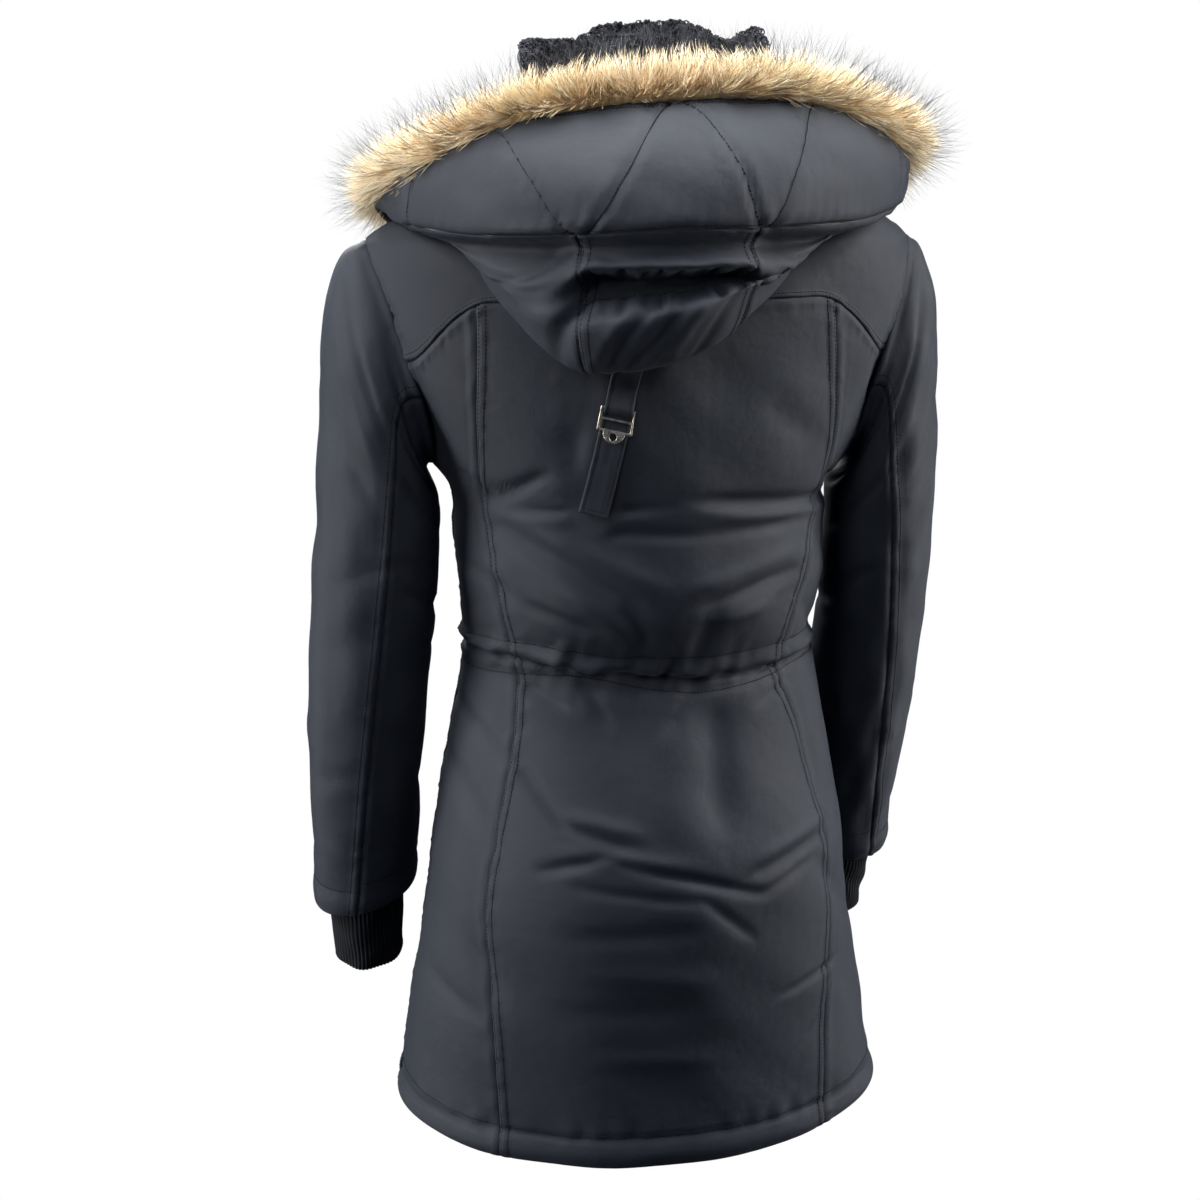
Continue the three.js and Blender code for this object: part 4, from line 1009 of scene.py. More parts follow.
def make_collar():
    base = lambda u, v: collar_point(mix(-COLLAR_ANGLE, COLLAR_ANGLE, u), v)
    height = sizes(base)[1]

    def relief(u, v, p):
        s, high = u * 480, (1 - v) * height
        rise = 1.0 * waves(300, s, v * 30, 55, 4) + 0.5 * waves(301, s, v * 30, 20, 4)
        return rise - 1.1 * bump(high - 8, 1.6) + 0.8 * bump(high - 4, 3)

    cloth = sew_on("collar", base, (0, 1, 0), dict(left="plain", right="plain", bottom="seam", top="plain"), relief,
                   310, 5, "stretched")
    sew_edge(cloth, "top", 8)
    # The pile inside it, lumpy, with curls along its upper part, stands above the cloth
    columns, rows = 190, 36
    u, v = np.meshgrid(np.linspace(0, 1, columns), np.linspace(0, 1, rows))
    # Below the zip's top end the pile keeps clear of the zip; above it the two sides meet
    angle = mix(-COLLAR_ANGLE, COLLAR_ANGLE, u) * mix(0.985, 1.0243, smooth((v - 0.66) / 0.08))
    place = collar_point(angle, mix(0.03, 1.0, v), -(SHELL + 1.4))
    outward = np.stack([np.sin(angle), np.cos(angle), 0 * angle], -1)
    round_at = np.degrees(angle)
    ends = 4.6 * smooth((np.abs(round_at) - 160) / 8) * (1 - smooth((v - 0.9) / 0.1))
    stand = np.interp(round_at, PILE_TOP[:, 0], PILE_TOP[:, 1]) + 1.6 * waves(326, u * 470, 0 * u, 24, 4)
    stand = np.maximum(stand - read(COLLAR_TOP, np.abs(round_at))[..., 1], 2.5)
    over = smooth((v - 0.62) / 0.38)
    grid = place - outward * ends[..., None]
    grid[..., 2] += stand * over
    grid = grid + outward * (5.5 * over * smooth((stand - 4) / 8))[..., None]
    n = facing(grid_normals(grid), outward)
    thick = 3.4 + 4.5 * smooth((v - 0.5) / 0.3) * np.sqrt(np.clip(1 - over ** 3, 0.05, 1))
    inner = grid - n * (thick + (0.5 + 0.7 * over) * (lumps(320, u * 470, v * 110) + 1.0))[..., None]
    face = grid + n * (0.7 * over * (lumps(323, u * 470, v * 110) + 0.6))[..., None]
    obj = pile_wall("collar_pile_cloth", face, inner, "collar_pile")
    declare(obj, 520, 125, "stretched", "collar_cloth")
    rng = np.random.default_rng(330)
    count = 2500
    pick = rng.uniform(0, 1, (count, 2))
    pick[:, 1] = 0.4 + 0.6 * pick[:, 1] ** 0.7
    pick[:760, 1] = 1.0
    p, q = sample(inner, pick), -sample(n, pick)
    back_side = (rng.uniform(0, 1, count) < 0.3) & (pick[:, 1] > 0.8)
    p = np.where(back_side[:, None], sample(face, pick), p)
    q = np.where(back_side[:, None], sample(n, pick), q)
    rim = pick[:, 1] > 0.99
    share = rng.uniform(0, 1, count)[:, None] * rim[:, None]
    p = np.where(rim[:, None], sample(inner, pick) * (1 - share) + sample(face, pick) * share, p)
    q = np.where(rim[:, None], np.array([[0, 0, 0.9]]) + sample(n, pick) * (share - 0.5) * 1.2, q)
    q = unit(q)
    curls("collar_curls", p - q * 0.9, q, 331, 2.3, 0.72)


# A pile wall from its two faces
def pile_wall(name, back, face, node):
    apart = back - face
    obj = wall(name, back, unit(apart), np.linalg.norm(apart, axis=-1, keepdims=True), "pile")
    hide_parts(node)
    return obj


# Values of a grid at shares (u, v), in straight steps
def sample(grid, pick):
    rows, columns = grid.shape[:2]
    x, y = pick[:, 0] * (columns - 1), pick[:, 1] * (rows - 1)
    i, j = np.minimum(x.astype(int), columns - 2), np.minimum(y.astype(int), rows - 2)
    return between(grid, i, j, (x - i)[:, None], (y - j)[:, None])


make_collar()


# Hood
def yoke_level(angle, distance):
    s, c = np.sin(angle), np.cos(angle)

    def radius(level):
        ring = read(BODY_RINGS, level)
        return 1 / np.hypot(s / ring[..., 1], c / np.where(c > 0, ring[..., 2], ring[..., 3]))

    low, high = np.full(distance.shape, -137.0), np.zeros(distance.shape)
    beyond = distance > radius(low)
    for _ in range(15):
        middle = (low + high) / 2
        wide = radius(middle) > distance
        low, high = np.where(wide, middle, low), np.where(wide, high, middle)
    front = read(BODY_RINGS, low)[..., 3]
    cosine = np.where(c < 0, distance * -c / front, 0)
    level = low - NECK_DROP * smooth(1 + low / 100) * cosine ** 1.5
    return np.where(beyond, -1000.0, level)


# Yoke levels on a regular grid, to be read quickly, every degree and every millimetre out from the middle
NEAREST, FARTHEST = 60, 245
FLOOR = yoke_level(*np.meshgrid(np.radians(np.linspace(-HOOD_END, HOOD_END, 2 * HOOD_END + 1)),
                                np.linspace(NEAREST, FARTHEST, FARTHEST - NEAREST + 1)))


def floor_at(azimuth, distance):
    x = np.clip(azimuth + HOOD_END, 0, 2 * HOOD_END - 0.001)
    y = np.clip(distance - NEAREST, 0, FARTHEST - NEAREST - 0.001)
    i, j = x.astype(int), y.astype(int)
    return between(FLOOR, i, j, x - i, y - j)


def hood_point(azimuth, share, lining=False):
    azimuth, share = np.broadcast_arrays(np.asarray(azimuth, float), np.asarray(share, float))
    away = np.abs(azimuth)
    points = []
    for k in range(11):
        in_pouch = smooth((k - 2.5) / 3) * (1 - smooth((k - 8.5) / 2))
        turned = azimuth - POUCH_TURN * in_pouch * smooth((130 - away) / 60)
        narrow = np.where(turned < 0, 0.22, 0.06) * in_pouch * smooth((100 - away) / 40)
        turned = np.abs(turned) * (1 + narrow)
        row = read(HOOD[:, [0, 1 + 2 * k, 2 + 2 * k]], np.minimum(turned, HOOD_END))
        points.append([row[..., 1], row[..., 2]])
    if not lining:
        # The brim's left end is drawn in a little, and the gathered slit is only as wide as the middle strip
        drawn = smooth((azimuth - 40) / 35) * (1 - smooth((azimuth - 118) / 25)) * 13
        drawn = drawn + 4 * smooth((-azimuth - 40) / 35) * (1 - smooth((-azimuth - 118) / 25))
        for k, part in enumerate((1, 0.95, 0.8, 0.5, 0.2)):
            points[k][0] = points[k][0] - drawn * part
        beside = smooth((np.abs(azimuth - 3) - 17) / 12)
        deep = (1 - beside) * (1 - smooth((away - 20) / 20))
        points[5] = [mix(points[5][0] + 3, points[4][0] * 0.45 + points[7][0] * 0.55 + 6, beside),
                     mix(points[5][1] - 1, points[4][1] * 0.55 + points[7][1] * 0.45, beside)]
        points[6] = [mix(points[6][0] - 8 * deep, points[4][0] * 0.2 + points[7][0] * 0.8 + 5, beside),
                     mix(points[6][1] + 3 * deep, points[4][1] * 0.25 + points[7][1] * 0.75, beside)]
        points[7] = [points[7][0] + 2 * deep, points[7][1] + 6 * deep]
        points[4] = [points[4][0] + 11 * deep, points[4][1] + 2 * deep]
    if lining:
        inner = np.minimum(points[4][0], points[6][0]) - 11
        points[3] = [points[3][0] - 14, points[3][1] + 14]
        points[4] = [inner, points[4][1] + 6]
        points[5] = [inner - 1, points[5][1]]
        points[6] = [inner, points[6][1] - 4]
        points[7] = [points[7][0] - 12, points[7][1] + 6]
        points[8] = [points[8][0] - 12, points[8][1] + 20]
        points[9] = [points[9][0] + 2, points[9][1] + 16]
    seam = body_point(np.radians(azimuth), 0.0)
    points.append([np.hypot(seam[..., 0], seam[..., 1]) + 2.6, seam[..., 2] + 5])
    table = np.stack([np.stack(np.broadcast_arrays(*p), -1) for p in points], -2)
    last = 11
    k = np.clip(np.ceil(share * last).astype(int) - 1, 0, last - 1)
    t = np.clip(share * last - k, 0, 1)[..., None]

    def take(index):
        return np.take_along_axis(table, np.clip(index, 0, last)[..., None, None].repeat(2, -1), -2)[..., 0, :]

    low, high = take(k), take(k + 1)
    slope_low = np.where(k[..., None] == 0, high - low, (high - take(k - 1)) / 2)
    slope_high = np.where(k[..., None] == last - 1, high - low, (take(k + 2) - low) / 2)
    value = hermite(low, high, slope_low, slope_high, t)
    distance, level = value[..., 0], value[..., 1]
    a = np.radians(azimuth)
    x = distance * np.sin(a)
    roll = HOOD_ROLL * x * np.maximum(1 - share, 0) ** 2.5
    sag = POUCH_TILT * (x - 16) * np.exp(-((share - 0.69) / 0.1) ** 2) * (1 - smooth((away - 18) / 30))
    floor = floor_at(azimuth, distance - 10) + 8 * smooth((away - 30) / 25) + 3
    return np.stack([x, distance * np.cos(a), np.maximum(level - roll - sag, floor)], -1)


# Creases of the hood. Columns: azimuth, share, half length in degrees, half height in share,
# slant (share a degree), rise.
BRIM_CREASES = [
    [-60, 0.10, 14, 0.02, 0.004, 1.0], [-38, 0.18, 16, 0.02, -0.003, -1.0], [8, 0.2, 16, 0.02, -0.003, -1.0],
    [46, 0.21, 16, 0.018, -0.004, -1.2], [66, 0.12, 14, 0.02, 0.003, -1.0], [80, 0.2, 12, 0.02, -0.005, 1.0],
    [-78, 0.2, 12, 0.02, 0.005, -1.2], [34, 0.245, 12, 0.012, 0.001, -1.4], [-44, 0.245, 12, 0.012, -0.001, -1.2],
]
POUCH_CREASES = [
    [-6, 0.62, 9, 0.03, 0.011, 2.4], [-13, 0.64, 9, 0.02, 0.011, -2.0], [12, 0.66, 9, 0.016, 0.008, -2.2],
    [15, 0.64, 8, 0.016, 0.008, 1.8], [10, 0.70, 10, 0.014, 0.006, -2.0], [2, 0.68, 10, 0.016, 0.004, 1.6],
    [27, 0.62, 5, 0.03, 0.012, -5.0], [31, 0.60, 8, 0.03, 0.006, 2.6], [40, 0.48, 9, 0.030, 0.010, -4.0],
    [46, 0.54, 10, 0.030, 0.008, 3.0], [33, 0.46, 7, 0.022, 0.008, 2.2], [52, 0.60, 10, 0.024, 0.006, -2.4],
    [-34, 0.47, 8, 0.026, -0.010, -3.6], [-40, 0.52, 8, 0.026, -0.008, 2.6], [-28, 0.56, 6, 0.02, -0.010, -3.0],
    [-30, 0.66, 8, 0.02, -0.006, -1.8], [-4, 0.45, 18, 0.016, 0.0, 1.0], [0, 0.76, 20, 0.02, 0.0, 1.2],
]


def hood_folds(table, azimuth, share):
    rise = 0.0
    for at, where, half, high, slant, height in table:
        d = azimuth - at
        rise = rise + height * np.exp(-((d / half) ** 4) - ((share - where - slant * d) / high) ** 2)
    return rise


# A piece of the hood between two azimuths and two shares of the way from its edge
def hood_piece(name, low_az, high_az, low_share, high_share, relief, seams, seed, step, outward):
    def place(u, v):
        return mix(low_az - 0.12, high_az + 0.12, u), mix(low_share, high_share, v)

    return sew_on(name, lambda u, v: hood_point(*place(u, v)), outward, seams, lambda u, v, p: relief(*place(u, v)),
                  seed, step, "folded")


def brim_relief(azimuth, share):
    s, t = azimuth * 3.3, share * 410
    rise = hood_folds(BRIM_CREASES, azimuth, share)
    rise = rise + 2.2 * np.sin(np.pi * np.clip(share / 0.288, 0, 1)) ** 0.7
    rise = rise + 0.8 * waves(401, s, t, 60, 5) + 0.1 * waves(402, s, t, 19, 5)
    # Sewn near the fur: little puckers down from the edge
    rise = rise + 0.8 * waves(403, s, 0 * s, 12, 4) * np.exp(-(t / 16) ** 2) - 1.2 * bump(t - 10, 1.8)
    for line in BRIM_SEWING:
        d = azimuth - np.interp(share, line[:, 1], line[:, 0])
        mm = np.abs(d) * 3.1
        rise = rise - 2.2 * np.exp(-(mm / 2.4) ** 2) + 0.9 * np.exp(-((mm - 7.5) / 4) ** 2)
        rise = rise + 0.5 * waves(404, 0 * t, t, 13, 4) * np.exp(-((mm - 5) / 5) ** 2)
    return rise


# Sewing lines down the brim. Each row: azimuth, share.
BRIM_SEWING = [
    np.array([[-2, 0.0], [6, 0.1], [14, 0.2], [22, 0.288]], float),
    np.array([[-2.6, 0.0], [-10, 0.1], [-16, 0.2], [-19, 0.288]], float),
    np.array([[58, 0.0], [46, 0.1], [34, 0.2], [25, 0.288]], float),
    np.array([[-50, 0.0], [-40, 0.1], [-29, 0.2], [-21, 0.288]], float),
    np.array([[72, 0.0], [71, 0.15], [72, 0.288]], float),
    np.array([[-72, 0.0], [-71, 0.15], [-72, 0.288]], float),
]


def pouch_relief(azimuth, share):
    s, t = azimuth * 2.9, share * 410
    rise = hood_folds(POUCH_CREASES, azimuth, share)
    # Ruffles along both lips of the slit, strongest in its middle
    middle = 1 - smooth((np.abs(azimuth - 3) - 16) / 9)
    ruffle = waves(411, s, 0 * s, 15, 4) + 0.5 * waves(414, s, 0 * s, 7, 4)
    rise = rise + middle * 2.6 * ruffle * (bump(share - 0.49, 0.028) + 0.8 * bump(share - 0.60, 0.024))
    rise = rise + 0.55 * waves(412, s, t, 48, 5) + 0.25 * waves(413, s, t, 18, 5)
    under = smooth((share - 0.84) / 0.1)
    sides = smooth((np.abs(azimuth) - 46) / 16) * smooth((share - 0.5) / 0.12)
    return rise * (1 - 0.85 * np.maximum(under, sides))


def make_hood():
    edge = dict(left="plain", right="plain", bottom="seam", top="plain")
    brim = hood_piece("hood_brim", -HOOD_END, HOOD_END, 0, BRIM_SHARE, brim_relief,
                      dict(edge, bottom="plain", top="seam"), 420, 4.4, (0, 0.8, 0.3))
    start = BRIM_SHARE - 0.001
    crown = hood_piece("hood_crown", RIGHT_HOOD_SEAM, LEFT_HOOD_SEAM, start, 1, pouch_relief,
                       dict(edge, left="seam", right="seam"), 430, 3.6, brim.sign)
    left = hood_piece("hood_side_left", LEFT_HOOD_SEAM, HOOD_END, start, 1, pouch_relief,
                      dict(edge, left="seam"), 440, 4.2, brim.sign)
    right = hood_piece("hood_side_right", -HOOD_END, RIGHT_HOOD_SEAM, start, 1, pouch_relief,
                       dict(edge, right="seam"), 450, 4.2, brim.sign)
    for line, points, rise in zip(BRIM_SEWING, (160,) * 4 + (120,) * 2, (0.9,) * 4 + (0.48,) * 2):
        share = np.linspace(0.012, 0.286, points)
        u = (np.interp(share, line[:, 1], line[:, 0]) + HOOD_END) / (2 * HOOD_END)
        sewing.line(*brim.on(u, share / BRIM_SHARE), rise=rise)
    sewing.line(*brim.on(np.linspace(0.02, 0.98, 900), 10 / brim.height))
    sewing.line(*brim.on(np.linspace(0.35, 0.65, 500), 1 - SINGLE / brim.height))
    sew_edge(crown, "left", SINGLE, 8.4)
    sew_edge(crown, "right", SINGLE, 8.4)
    sew_edge(left, "left", SINGLE)
    sew_edge(right, "right", SINGLE)
    sewing.line(*crown.on(np.linspace(0.02, 0.98, 140), (CROWN_SEAM - start) / (1 - start)))


make_hood()
sewing.build("stitches")


# The hood's pile lining
def make_lining():
    columns, rows = 56, 76
    u, v = np.meshgrid(np.linspace(-35.5, 35.5, columns), np.linspace(0.012, 0.945, rows))
    middle = hood_point(u, v, True)
    du = hood_point(u + 0.05, v, True) - hood_point(u - 0.05, v, True)
    dv = hood_point(u, v + 1e-3, True) - hood_point(u, v - 1e-3, True)
    n = unit(np.cross(dv, du))
    if n[rows // 8, columns // 2] @ np.array([0, 0.8, 0.4]) > 0:
        n = -n
    back = middle + n * (SHELL + 1.8)
    face = middle + n * (SHELL + 4.6 + 0.55 * (lumps(520, u * 2.6, v * 420) + 1.2))[..., None]
    obj = pile_wall("hood_lining_cloth", back, face, "hood_lining")
    declare(obj, 260, 480, "folded", "hood_brim_cloth")


make_lining()


# Fur along the hood's edge
FUR_ANGLE = np.array([[0, 96], [25, 84], [50, 62], [72, 42], [92, 28], [112, 26], [132, 18], [152, 8]], float)


def fur_frame(azimuth):
    azimuth = np.asarray(azimuth, float)
    edge = hood_point(azimuth, 0 * azimuth)
    lean = np.radians(read(FUR_ANGLE, np.abs(azimuth))[..., 1])[..., None]
    a = np.radians(azimuth)
    outward = np.stack([np.sin(a), np.cos(a), 0 * a], -1)
    up = np.array([0, 0, 1.0])
    along = outward * np.cos(lean) + up * np.sin(lean)
    across = outward * np.sin(lean) - up * np.cos(lean)
    share = np.clip((azimuth + HOOD_END - 2) / (2 * HOOD_END - 4), 0.001, 0.999)
    fade = (0.45 + 0.55 * np.sqrt(np.sin(np.pi * share))) * (1 + 0.20 * np.exp(-((np.abs(azimuth) - 92) / 26) ** 4))
    side = np.stack([np.cos(a), -np.sin(a), 0 * a], -1)
    return edge, along, across, side, fade


def make_fur():
    # The dense under layer, a soft roll that holds the edge
    rows, around = 300, 16
    azimuth = np.linspace(-HOOD_END + 2, HOOD_END - 2, rows)
    edge, along, across, side, fade = fur_frame(azimuth)
    t = 2 * np.pi * np.arange(around) / around
    ends = np.sqrt(np.clip(1 - np.abs(np.linspace(-1, 1, rows)) ** 60, 0.02, 1))
    size = (fade * ends)[:, None]
    rough = 1 + 0.16 * waves(600, azimuth[:, None] * 3.3, np.broadcast_to(t * 9, (rows, around)), 9, 5)
    grid = (edge[:, None] + along[:, None] * ((5 + 7.5 * np.cos(t)) * size * rough)[..., None]
            + across[:, None] * (8 * np.sin(t) * size * rough)[..., None])
    count = rows * around
    j, i = np.mgrid[0:rows - 1, 0:around]
    a = (j * around + i).ravel()
    b = (j * around + (i + 1) % around).ravel()
    faces = np.concatenate([np.stack([a, b, b + around], 1), np.stack([a, b + around, a + around], 1)])
    k = np.arange(around)
    following, last = (k + 1) % around, count - around
    first_cap = np.stack([np.full(around, count), following, k], 1)
    last_cap = np.stack([np.full(around, count + 1), last + k, last + following], 1)
    verts = np.concatenate([grid.reshape(-1, 3), grid[0].mean(0)[None], grid[-1].mean(0)[None]])
    faces = np.concatenate([faces, first_cap, last_cap])
    if volume(verts, faces) < 0:
        faces = faces[:, ::-1]
    core = mesh_object("fur_under", verts, faces, "fur:core")
    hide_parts("fur_trim")

    rng = np.random.default_rng(610)
    fine = np.linspace(-HOOD_END + 2, HOOD_END - 2, 2000)
    edge = fur_frame(fine)[0]
    s = np.concatenate([[0], np.cumsum(np.linalg.norm(np.diff(edge, axis=0), axis=1))])

    def heading(along, across, side, angle, sway):
        c, d = np.cos(angle)[:, None], np.sin(angle)[:, None]
        return unit(along * c + across * d + side * np.tan(sway)[:, None])

    # Locks: the strands near each one lean towards its tip
    locks = 330
    lock_at, lock_spread = rng.uniform(0, s[-1], locks), rng.uniform(-1.45, 1.45, locks)
    lock_edge, lock_along, lock_across, lock_side, lock_fade = fur_frame(np.interp(lock_at, s, fine))
    lock_dir = heading(lock_along, lock_across, lock_side, lock_spread * 0.95 + rng.normal(0, 0.26, locks),
                       rng.normal(0, 0.5, locks))
    lock_long = (42 * lock_fade - 2) * rng.uniform(0.72, 1.12, locks) * (1 - 0.22 * np.abs(lock_spread) / 1.45)
    lock_tip = lock_edge + lock_dir * lock_long[:, None]
    lock_tone = rng.uniform(-0.3, 0.3, locks)

    def strands(name, slot, total, shortest, longest, widths, hold, drop):
        at = rng.uniform(0, s[-1], total)
        spread = np.clip(rng.normal(0, 0.72, total), -1.75, 1.75)
        near = np.empty(total, int)
        for start in range(0, total, 2000):
            part = slice(start, start + 2000)
            far = ((at[part, None] - lock_at) / 8) ** 2 + ((spread[part, None] - lock_spread) / 0.5) ** 2
            near[part] = far.argmin(1)
        edge, along, across, side, fade = fur_frame(np.interp(at, s, fine))
        own = heading(along, across, side, spread + rng.normal(0, 0.12, total), rng.normal(0, 0.2, total))
        root = edge + along * (3.5 * fade)[:, None] + own * (4.5 * fade)[:, None]
        length = fade * rng.uniform(shortest, longest, total) * (1 - 0.3 * (np.abs(spread) / 1.75) ** 2)
        aim = unit(lock_tip[near] - root)
        pull = (hold * rng.uniform(0.5, 1.0, total))[:, None]
        tip = own * (1 - pull) + aim * pull
        tip[:, 2] -= drop
        tip = unit(tip)
        bend = rng.normal(0, 0.055, (total, 3)) * length[:, None]
        ref = unit(np.cross(own, side + np.array([0, 0, 0.3])))
        other = np.cross(own, ref)
        width = rng.uniform(*widths, total)
        rings, places = [], (0.0, 0.36, 0.7, 1.0)
        for k, share in enumerate(places):
            middle = root + (own * (share - 0.5 * share ** 2) + tip * (0.5 * share ** 2)) * length[:, None] * 1.04
            middle = middle + bend * math.sin(math.pi * share)
            if k == 3:
                rings.append(middle)
                continue
            w = width * (1.0, 0.9, 0.6)[k]
            for q in range(3):
                angle = 2 * np.pi * q / 3
                rings.append(middle + ref * (math.cos(angle) * w)[:, None] + other * (math.sin(angle) * w)[:, None])
        verts = np.stack(rings, 1)
        one = []
        for a in range(6):
            b = a + 1 if a % 3 < 2 else a - 2
            one += [[a, b, b + 3], [a, b + 3, a + 3]]
        one += [[6 + q, 6 + (q + 1) % 3, 9] for q in range(3)]
        tone = np.clip(rng.uniform(0, 1, total) + lock_tone[near], 0, 1)
        shares = np.repeat(places, (3, 3, 3, 1))
        uv = np.stack([np.broadcast_to(tone[:, None], (total, 10)), np.broadcast_to(shares, (total, 10))], -1)
        mesh_object(name, verts, repeated(one, total, 10), slot, uv.reshape(-1, 2))

    strands("fur_coat_a", "fur", 7200, 23, 37, (0.32, 0.5), 0.95, 0.05)
    strands("fur_coat_b", "fur", 7200, 18, 34, (0.32, 0.5), 0.95, 0.05)
    strands("fur_guard_hairs", "fur:guard", 3800, 38, 56, (0.13, 0.2), 0.55, 0.04)


def volume(verts, faces):
    a, b, c = (verts[faces[:, k]] for k in range(3))
    return float(np.sum(a * np.cross(b, c)) / 6)


make_fur()


# Strap and buckle on the back
STRAP_THICK = 1.5
BUCKLE_AT = 43.0
BAR_STEP = 9
STRAP_HEIGHTS = np.array([
    [0, 16], [12, 7], [24, 2.2], [33, 2.2], [41, 4.5], [44.6, 4.4], [49.6, 1.2], [66, 1], [130, 3],
], float)


def strap_frame(down, across, out):
    line = STRAP_END - STRAP_TOP
    long = math.hypot(*line)
    share = down / long
    x = mix(STRAP_TOP[0], STRAP_END[0], share) - line[1] / long * across
    level = mix(STRAP_TOP[1], STRAP_END[1], share) + line[0] / long * across
    return body_point(body_angle(x, level), level, out)


def make_strap():
    down = np.arange(0, 132.01, 1.5)
    across = np.array([-11.5, -11, -10, -8.6, -6, -3, 0, 3, 6, 8.6, 10, 11, 11.5])
    aa, dd = np.meshgrid(across, down)
    height = read(STRAP_HEIGHTS, dd)[..., 1] + STRAP_THICK
    grid = strap_frame(dd, aa, height)
    n = facing(grid_normals(grid), np.array([0, 1.0, 0]))
    edge = 11.5 - np.abs(aa)
    rise = -0.45 * np.exp(-edge / 0.5) + 0.3 * bump(edge - 1.4, 1.0) - 0.25 * bump(edge - 2.9, 0.7)
    rise = rise + 0.2 * waves(700, dd, aa, 14, 4)
    grid = grid + n * (rise + 0.1)[..., None]
    obj = wall("hood_strap_cloth", grid, facing(grid_normals(grid), n), 1.3, "shell")
    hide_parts("hood_strap")
    declare(obj, 23, 136, "hung", "hood_crown_cloth", "back_centre_cloth")
    # Sewing down both edges and across the lower end
    lines = Sewing()
    d = np.linspace(3, 128, 200)
    for down, across in ((d, -8.7 + 0 * d), (d, 8.7 + 0 * d), (np.full(30, 128.0), np.linspace(-8.7, 8.7, 30))):
        p = strap_frame(down, across, read(STRAP_HEIGHTS, down)[..., 1] + STRAP_THICK - 0.1)
        lines.line(p, np.broadcast_to([0, 1.0, 0], p.shape), 2.6, 1.9, 0.5)
    lines.build("strap_stitches")


def make_buckle():
    half, rail, bar, thick = 14.5, 2.0, 2.0, 2.0
    bevel = 0.55
    curve = bpy.data.curves.new("buckle_outline", "CURVE")
    curve.dimensions = "2D"
    curve.fill_mode = "BOTH"
    curve.extrude = (thick / 2 - bevel) / 1000
    curve.bevel_depth = bevel / 1000
    curve.bevel_resolution = 3
    curve.offset = -bevel / 1000

    def loop(points):
        spline = curve.splines.new("POLY")
        spline.points.add(len(points) - 1)
        for point, (x, y) in zip(spline.points, points):
            point.co = (x / 1000, y / 1000, 0, 1)
        spline.use_cyclic_u = True

    def rounded(corners, radius):
        points, corners = [], np.array(corners, float)
        for k, p in enumerate(corners):
            a, b = unit(corners[k - 1] - p), unit(corners[(k + 1) % len(corners)] - p)
            points += [p + a * radius * (1 - t) ** 2 + b * radius * t ** 2 for t in np.linspace(0, 1, 5)]
        return points

    low = 2 * BAR_STEP + bar / 2
    outer = rounded([(-half, -bar / 2), (half, -bar / 2), (half, low), (9, low)], 1.4)[:-5]
    outer.append((9.6, low))
    outer += [(9 * math.cos(t), low + 9 * math.sin(t)) for t in np.linspace(0.05, math.pi - 0.05, 25)]
    outer.append((-9.6, low))
    outer += rounded([(9, low), (-half, low), (-half, -bar / 2)], 1.4)[5:10]
    loop(outer)
    for start in (0, BAR_STEP):
        x, y, y2 = half - rail, start + bar / 2, start + BAR_STEP - bar / 2
        loop(rounded([(-x, y), (x, y), (x, y2), (-x, y2)], 0.9)[::-1])
    turn = -np.linspace(0, 2 * math.pi, 24, endpoint=False)
    loop([(2.9 * math.cos(t), 2 * BAR_STEP + 4.6 + 2.9 * math.sin(t)) for t in turn])
    holder = placed("buckle_curve", curve)
    bpy.context.view_layer.update()
    mesh = bpy.data.meshes.new_from_object(holder)
    bpy.data.objects.remove(holder)
    # Its directions on the back: down the strap, out of it and across it
    top = strap_frame(BUCKLE_AT, 0.0, 1.8 + thick / 2)
    down = unit(strap_frame(BUCKLE_AT + 2 * BAR_STEP, 0.0, 5.2 + thick / 2) - top)
    side = strap_frame(BUCKLE_AT, 12.0, 0) - strap_frame(BUCKLE_AT, -12.0, 0)
    out = unit(np.cross(side, down))
    side = np.cross(down, out)
    co = np.empty(len(mesh.vertices) * 3)
    mesh.vertices.foreach_get("co", co)
    co = co.reshape(-1, 3)
    co = co[:, :1] * side + co[:, 1:2] * down + co[:, 2:] * out + top / 1000
    mesh.vertices.foreach_set("co", co.astype(np.float32).ravel())
    mesh.materials.clear()
    mesh.materials.append(MATERIALS["metal"])
    for polygon in mesh.polygons:
        polygon.use_smooth = True
        polygon.material_index = 0
    obj = placed("buckle_metal", mesh)
    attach(obj, "coat")
    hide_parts("hood_buckle")


make_strap()
make_buckle()


# Zip down the front
def front_line(share):
    split, start, top = 0.84, -806, 0.95

    def at(t):
        low = body_point(np.pi + 0 * t, mix(start, 0, np.minimum(t / split, 1)))
        high = collar_point(np.pi + 0 * t, np.maximum((t - split) / (1 - split), 0) * top)
        return np.where((t < split)[..., None], low, high)

    place = at(share)
    along = unit(at(np.minimum(1, share + 0.012)) - at(np.maximum(0, share - 0.012)))
    out = unit(np.stack([0 * share, -along[..., 2], along[..., 1]], -1))
    return place * np.array([0, 1, 1]), along, out


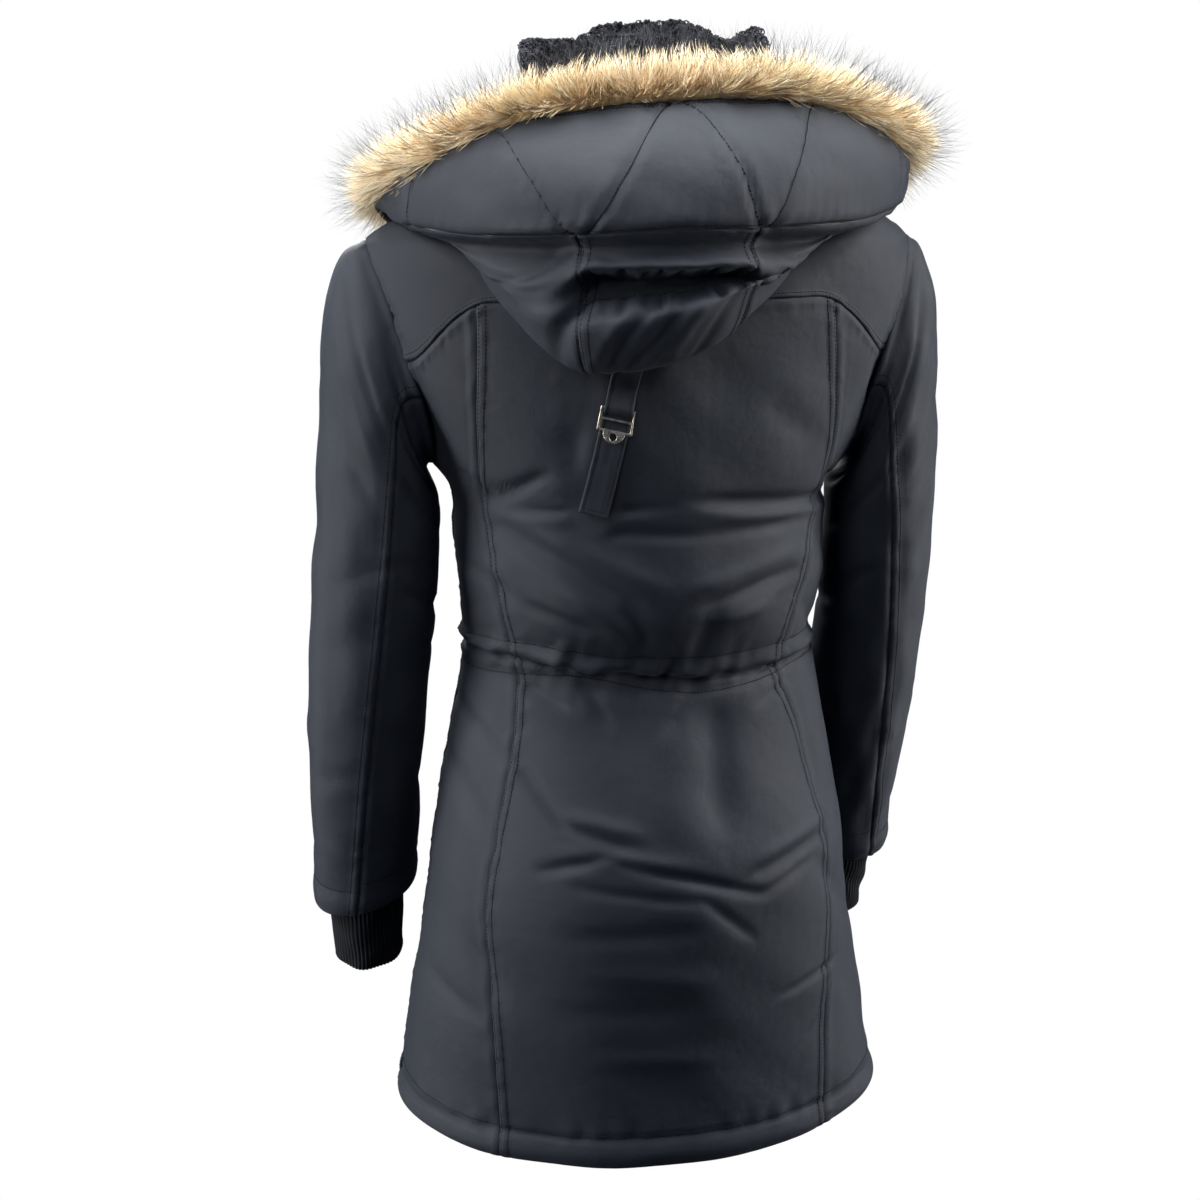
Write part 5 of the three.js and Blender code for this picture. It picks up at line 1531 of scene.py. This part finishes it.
def make_zip():
    for word, side in (("left", 1), ("right", -1)):
        share = np.linspace(0.004, 0.985, 190)
        across = np.array([0.3, 0.9, 1.6, 3.0, 5.0, 7.5, 10.0, 11.0])
        place, along, out = front_line(share)
        at_neck = 5 * bump(share - 0.835, 0.03)
        height = -5.0 - at_neck[:, None] + 0.25 * np.exp(-across / 1.2)[None]
        grid = place[:, None] + out[:, None] * height[..., None]
        grid[..., 0] = side * across
        if side < 0:
            grid = grid[:, ::-1]
        n = np.broadcast_to(out[:, None], grid.shape)
        obj = wall(f"zip_tape_{word}", grid, n, 0.9, "tape")
        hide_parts(f"zip_{word}")
        declare(obj, 11, 905, "stretched", f"front_{word}_cloth")
    # Teeth of the two rows, set between each other
    length = np.linalg.norm(np.diff(place, axis=0), axis=1).sum()
    count = int(length / 3.0)
    base = np.array([[x, y, z] for x in (0, 1) for y in (0, 1) for z in (0, 1)], float)
    quads = np.array([[0, 1, 3, 2], [4, 6, 7, 5], [0, 4, 5, 1], [2, 3, 7, 6], [0, 2, 6, 4], [1, 5, 7, 3]])
    for word, side in (("left", 1), ("right", -1)):
        mids = 0.004 + 0.981 * (np.arange(count) + (0.25 if side > 0 else 0.75)) / count
        place, along, out = front_line(mids)
        at_neck = 5 * bump(mids - 0.835, 0.03)
        verts = []
        for corner in base:
            wide, tall = (1.3, 1.0) if corner[0] else (1.1, 1.2)
            p = place + along * (corner[1] - 0.5) * wide
            p = p + out * (-3.9 - at_neck + (corner[2] - 0.5) * 2 * tall)[:, None]
            p[:, 0] = side * (-0.9 + 4.0 * corner[0])
            verts.append(p)
        faces = repeated(quads, count, 8)[:, ::side]
        mesh_object(f"zip_teeth_{word}", np.stack(verts, 1), faces, "metal:teeth", smooth_shade=False)


make_zip()

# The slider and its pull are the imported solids, with softened edges
for name in ("zip_slider", "zip_pull"):
    obj = bpy.data.objects[name]
    obj.data.materials.clear()
    obj.data.materials.append(MATERIALS["metal"])
    soft = obj.modifiers.new("soft_edges", "BEVEL")
    soft.width = 0.0003
    soft.segments = 2
    soft.limit_method = "ANGLE"

# Floor, light and camera
scene = bpy.context.scene
far, low, high = 70, -1.45, 45
corners = [(-far, -far), (far, -far), (far, far), (-far, far)]
floor_mesh = bpy.data.meshes.new("floor")
floor_mesh.from_pydata([(x, y, z) for z in (low, high) for x, y in corners], [],
                       [(0, 1, 2, 3), (0, 1, 5, 4), (1, 2, 6, 5), (2, 3, 7, 6), (3, 0, 4, 7)])
floor = placed("floor", floor_mesh)
pale = Nodes("pale_floor")
pale.set(Base_Color=(0, 0, 0, 1), Roughness=1.0, Specular_IOR_Level=0.0,
         Emission_Color=(1, 1, 1, 1), Emission_Strength=1.0)
floor_mesh.materials.append(pale.mat)
floor.visible_diffuse = floor.visible_glossy = floor.visible_shadow = False

# A soft sky: bright overhead, dim towards the ground
world = bpy.data.worlds.new("soft_room")
world.use_nodes = True
tree = world.node_tree
coords = tree.nodes.new("ShaderNodeTexCoord")
split = tree.nodes.new("ShaderNodeSeparateXYZ")
shade = tree.nodes.new("ShaderNodeValToRGB")
spread = tree.nodes.new("ShaderNodeMapRange")
spread.inputs["From Min"].default_value = -1
tree.links.new(coords.outputs["Generated"], split.inputs[0])
tree.links.new(split.outputs[2], spread.inputs["Value"])
tree.links.new(spread.outputs["Result"], shade.inputs["Fac"])
tree.links.new(shade.outputs["Color"], tree.nodes["Background"].inputs[0])
stops = [(0.0, 0.02), (0.5, 0.04), (0.64, 0.06), (0.82, 0.12), (1.0, 0.34)]
while len(shade.color_ramp.elements) < len(stops):
    shade.color_ramp.elements.new(0.5)
for element, (place, value) in zip(shade.color_ramp.elements, stops):
    element.position = place
    element.color = (value * 0.25, value * 0.45, value, 1)
tree.nodes["Background"].inputs[1].default_value = 1.0
scene.world = world


def aim(obj, place, way):
    obj.location = place
    obj.rotation_euler = way.to_track_quat("-Z", "Y").to_euler()


# Lights: name, place, size and power. They point at the middle of the coat.
LIGHTS = [
    ("key", (0.1, 0.1, 1.6), 0.8, 66),
    ("left_high", (2.1, 0.25, 1.3), 0.9, 66),
    ("left_low", (2.2, 0.1, -0.7), 0.9, 34),
    ("left_back", (1.5, 1.5, 0.8), 0.9, 13),
    ("right_high", (-2.1, 0.25, 1.3), 0.9, 80),
    ("right_low", (-2.2, 0.1, -0.7), 0.9, 26),
    ("right_back", (-1.5, 1.5, 0.8), 0.9, 9),
    ("front", (0.3, -2.4, 1.2), 1.6, 110),
]
for name, place, size, power in LIGHTS:
    data = bpy.data.lights.new(name, "AREA")
    data.energy, data.size = power, size
    middle = (0, 0, -0.3) if name == "front" else (0, 0.05, -0.3)
    aim(placed(name, data), place, Vector(middle) - Vector(place))

# The camera stands 1.75 m behind the coat, a little to one side, and looks down at it
PITCH = math.radians(15.565)
DISTANCE = 1750
ASIDE, BEHIND = 0.146, 0.989
camera_data = bpy.data.cameras.new("camera")
camera_data.sensor_width = 36
camera_data.lens = 61.7
camera_data.clip_end = 400
camera = placed("camera", camera_data)
aim(camera, ((ASIDE * DISTANCE + 33.6) / 1000, (BEHIND * DISTANCE - 5.0) / 1000, 0.120),
    Vector((-ASIDE * math.cos(PITCH), -BEHIND * math.cos(PITCH), -math.sin(PITCH))))
scene.camera = camera
scene.view_settings.view_transform = "Standard"
scene.view_settings.look = "None"
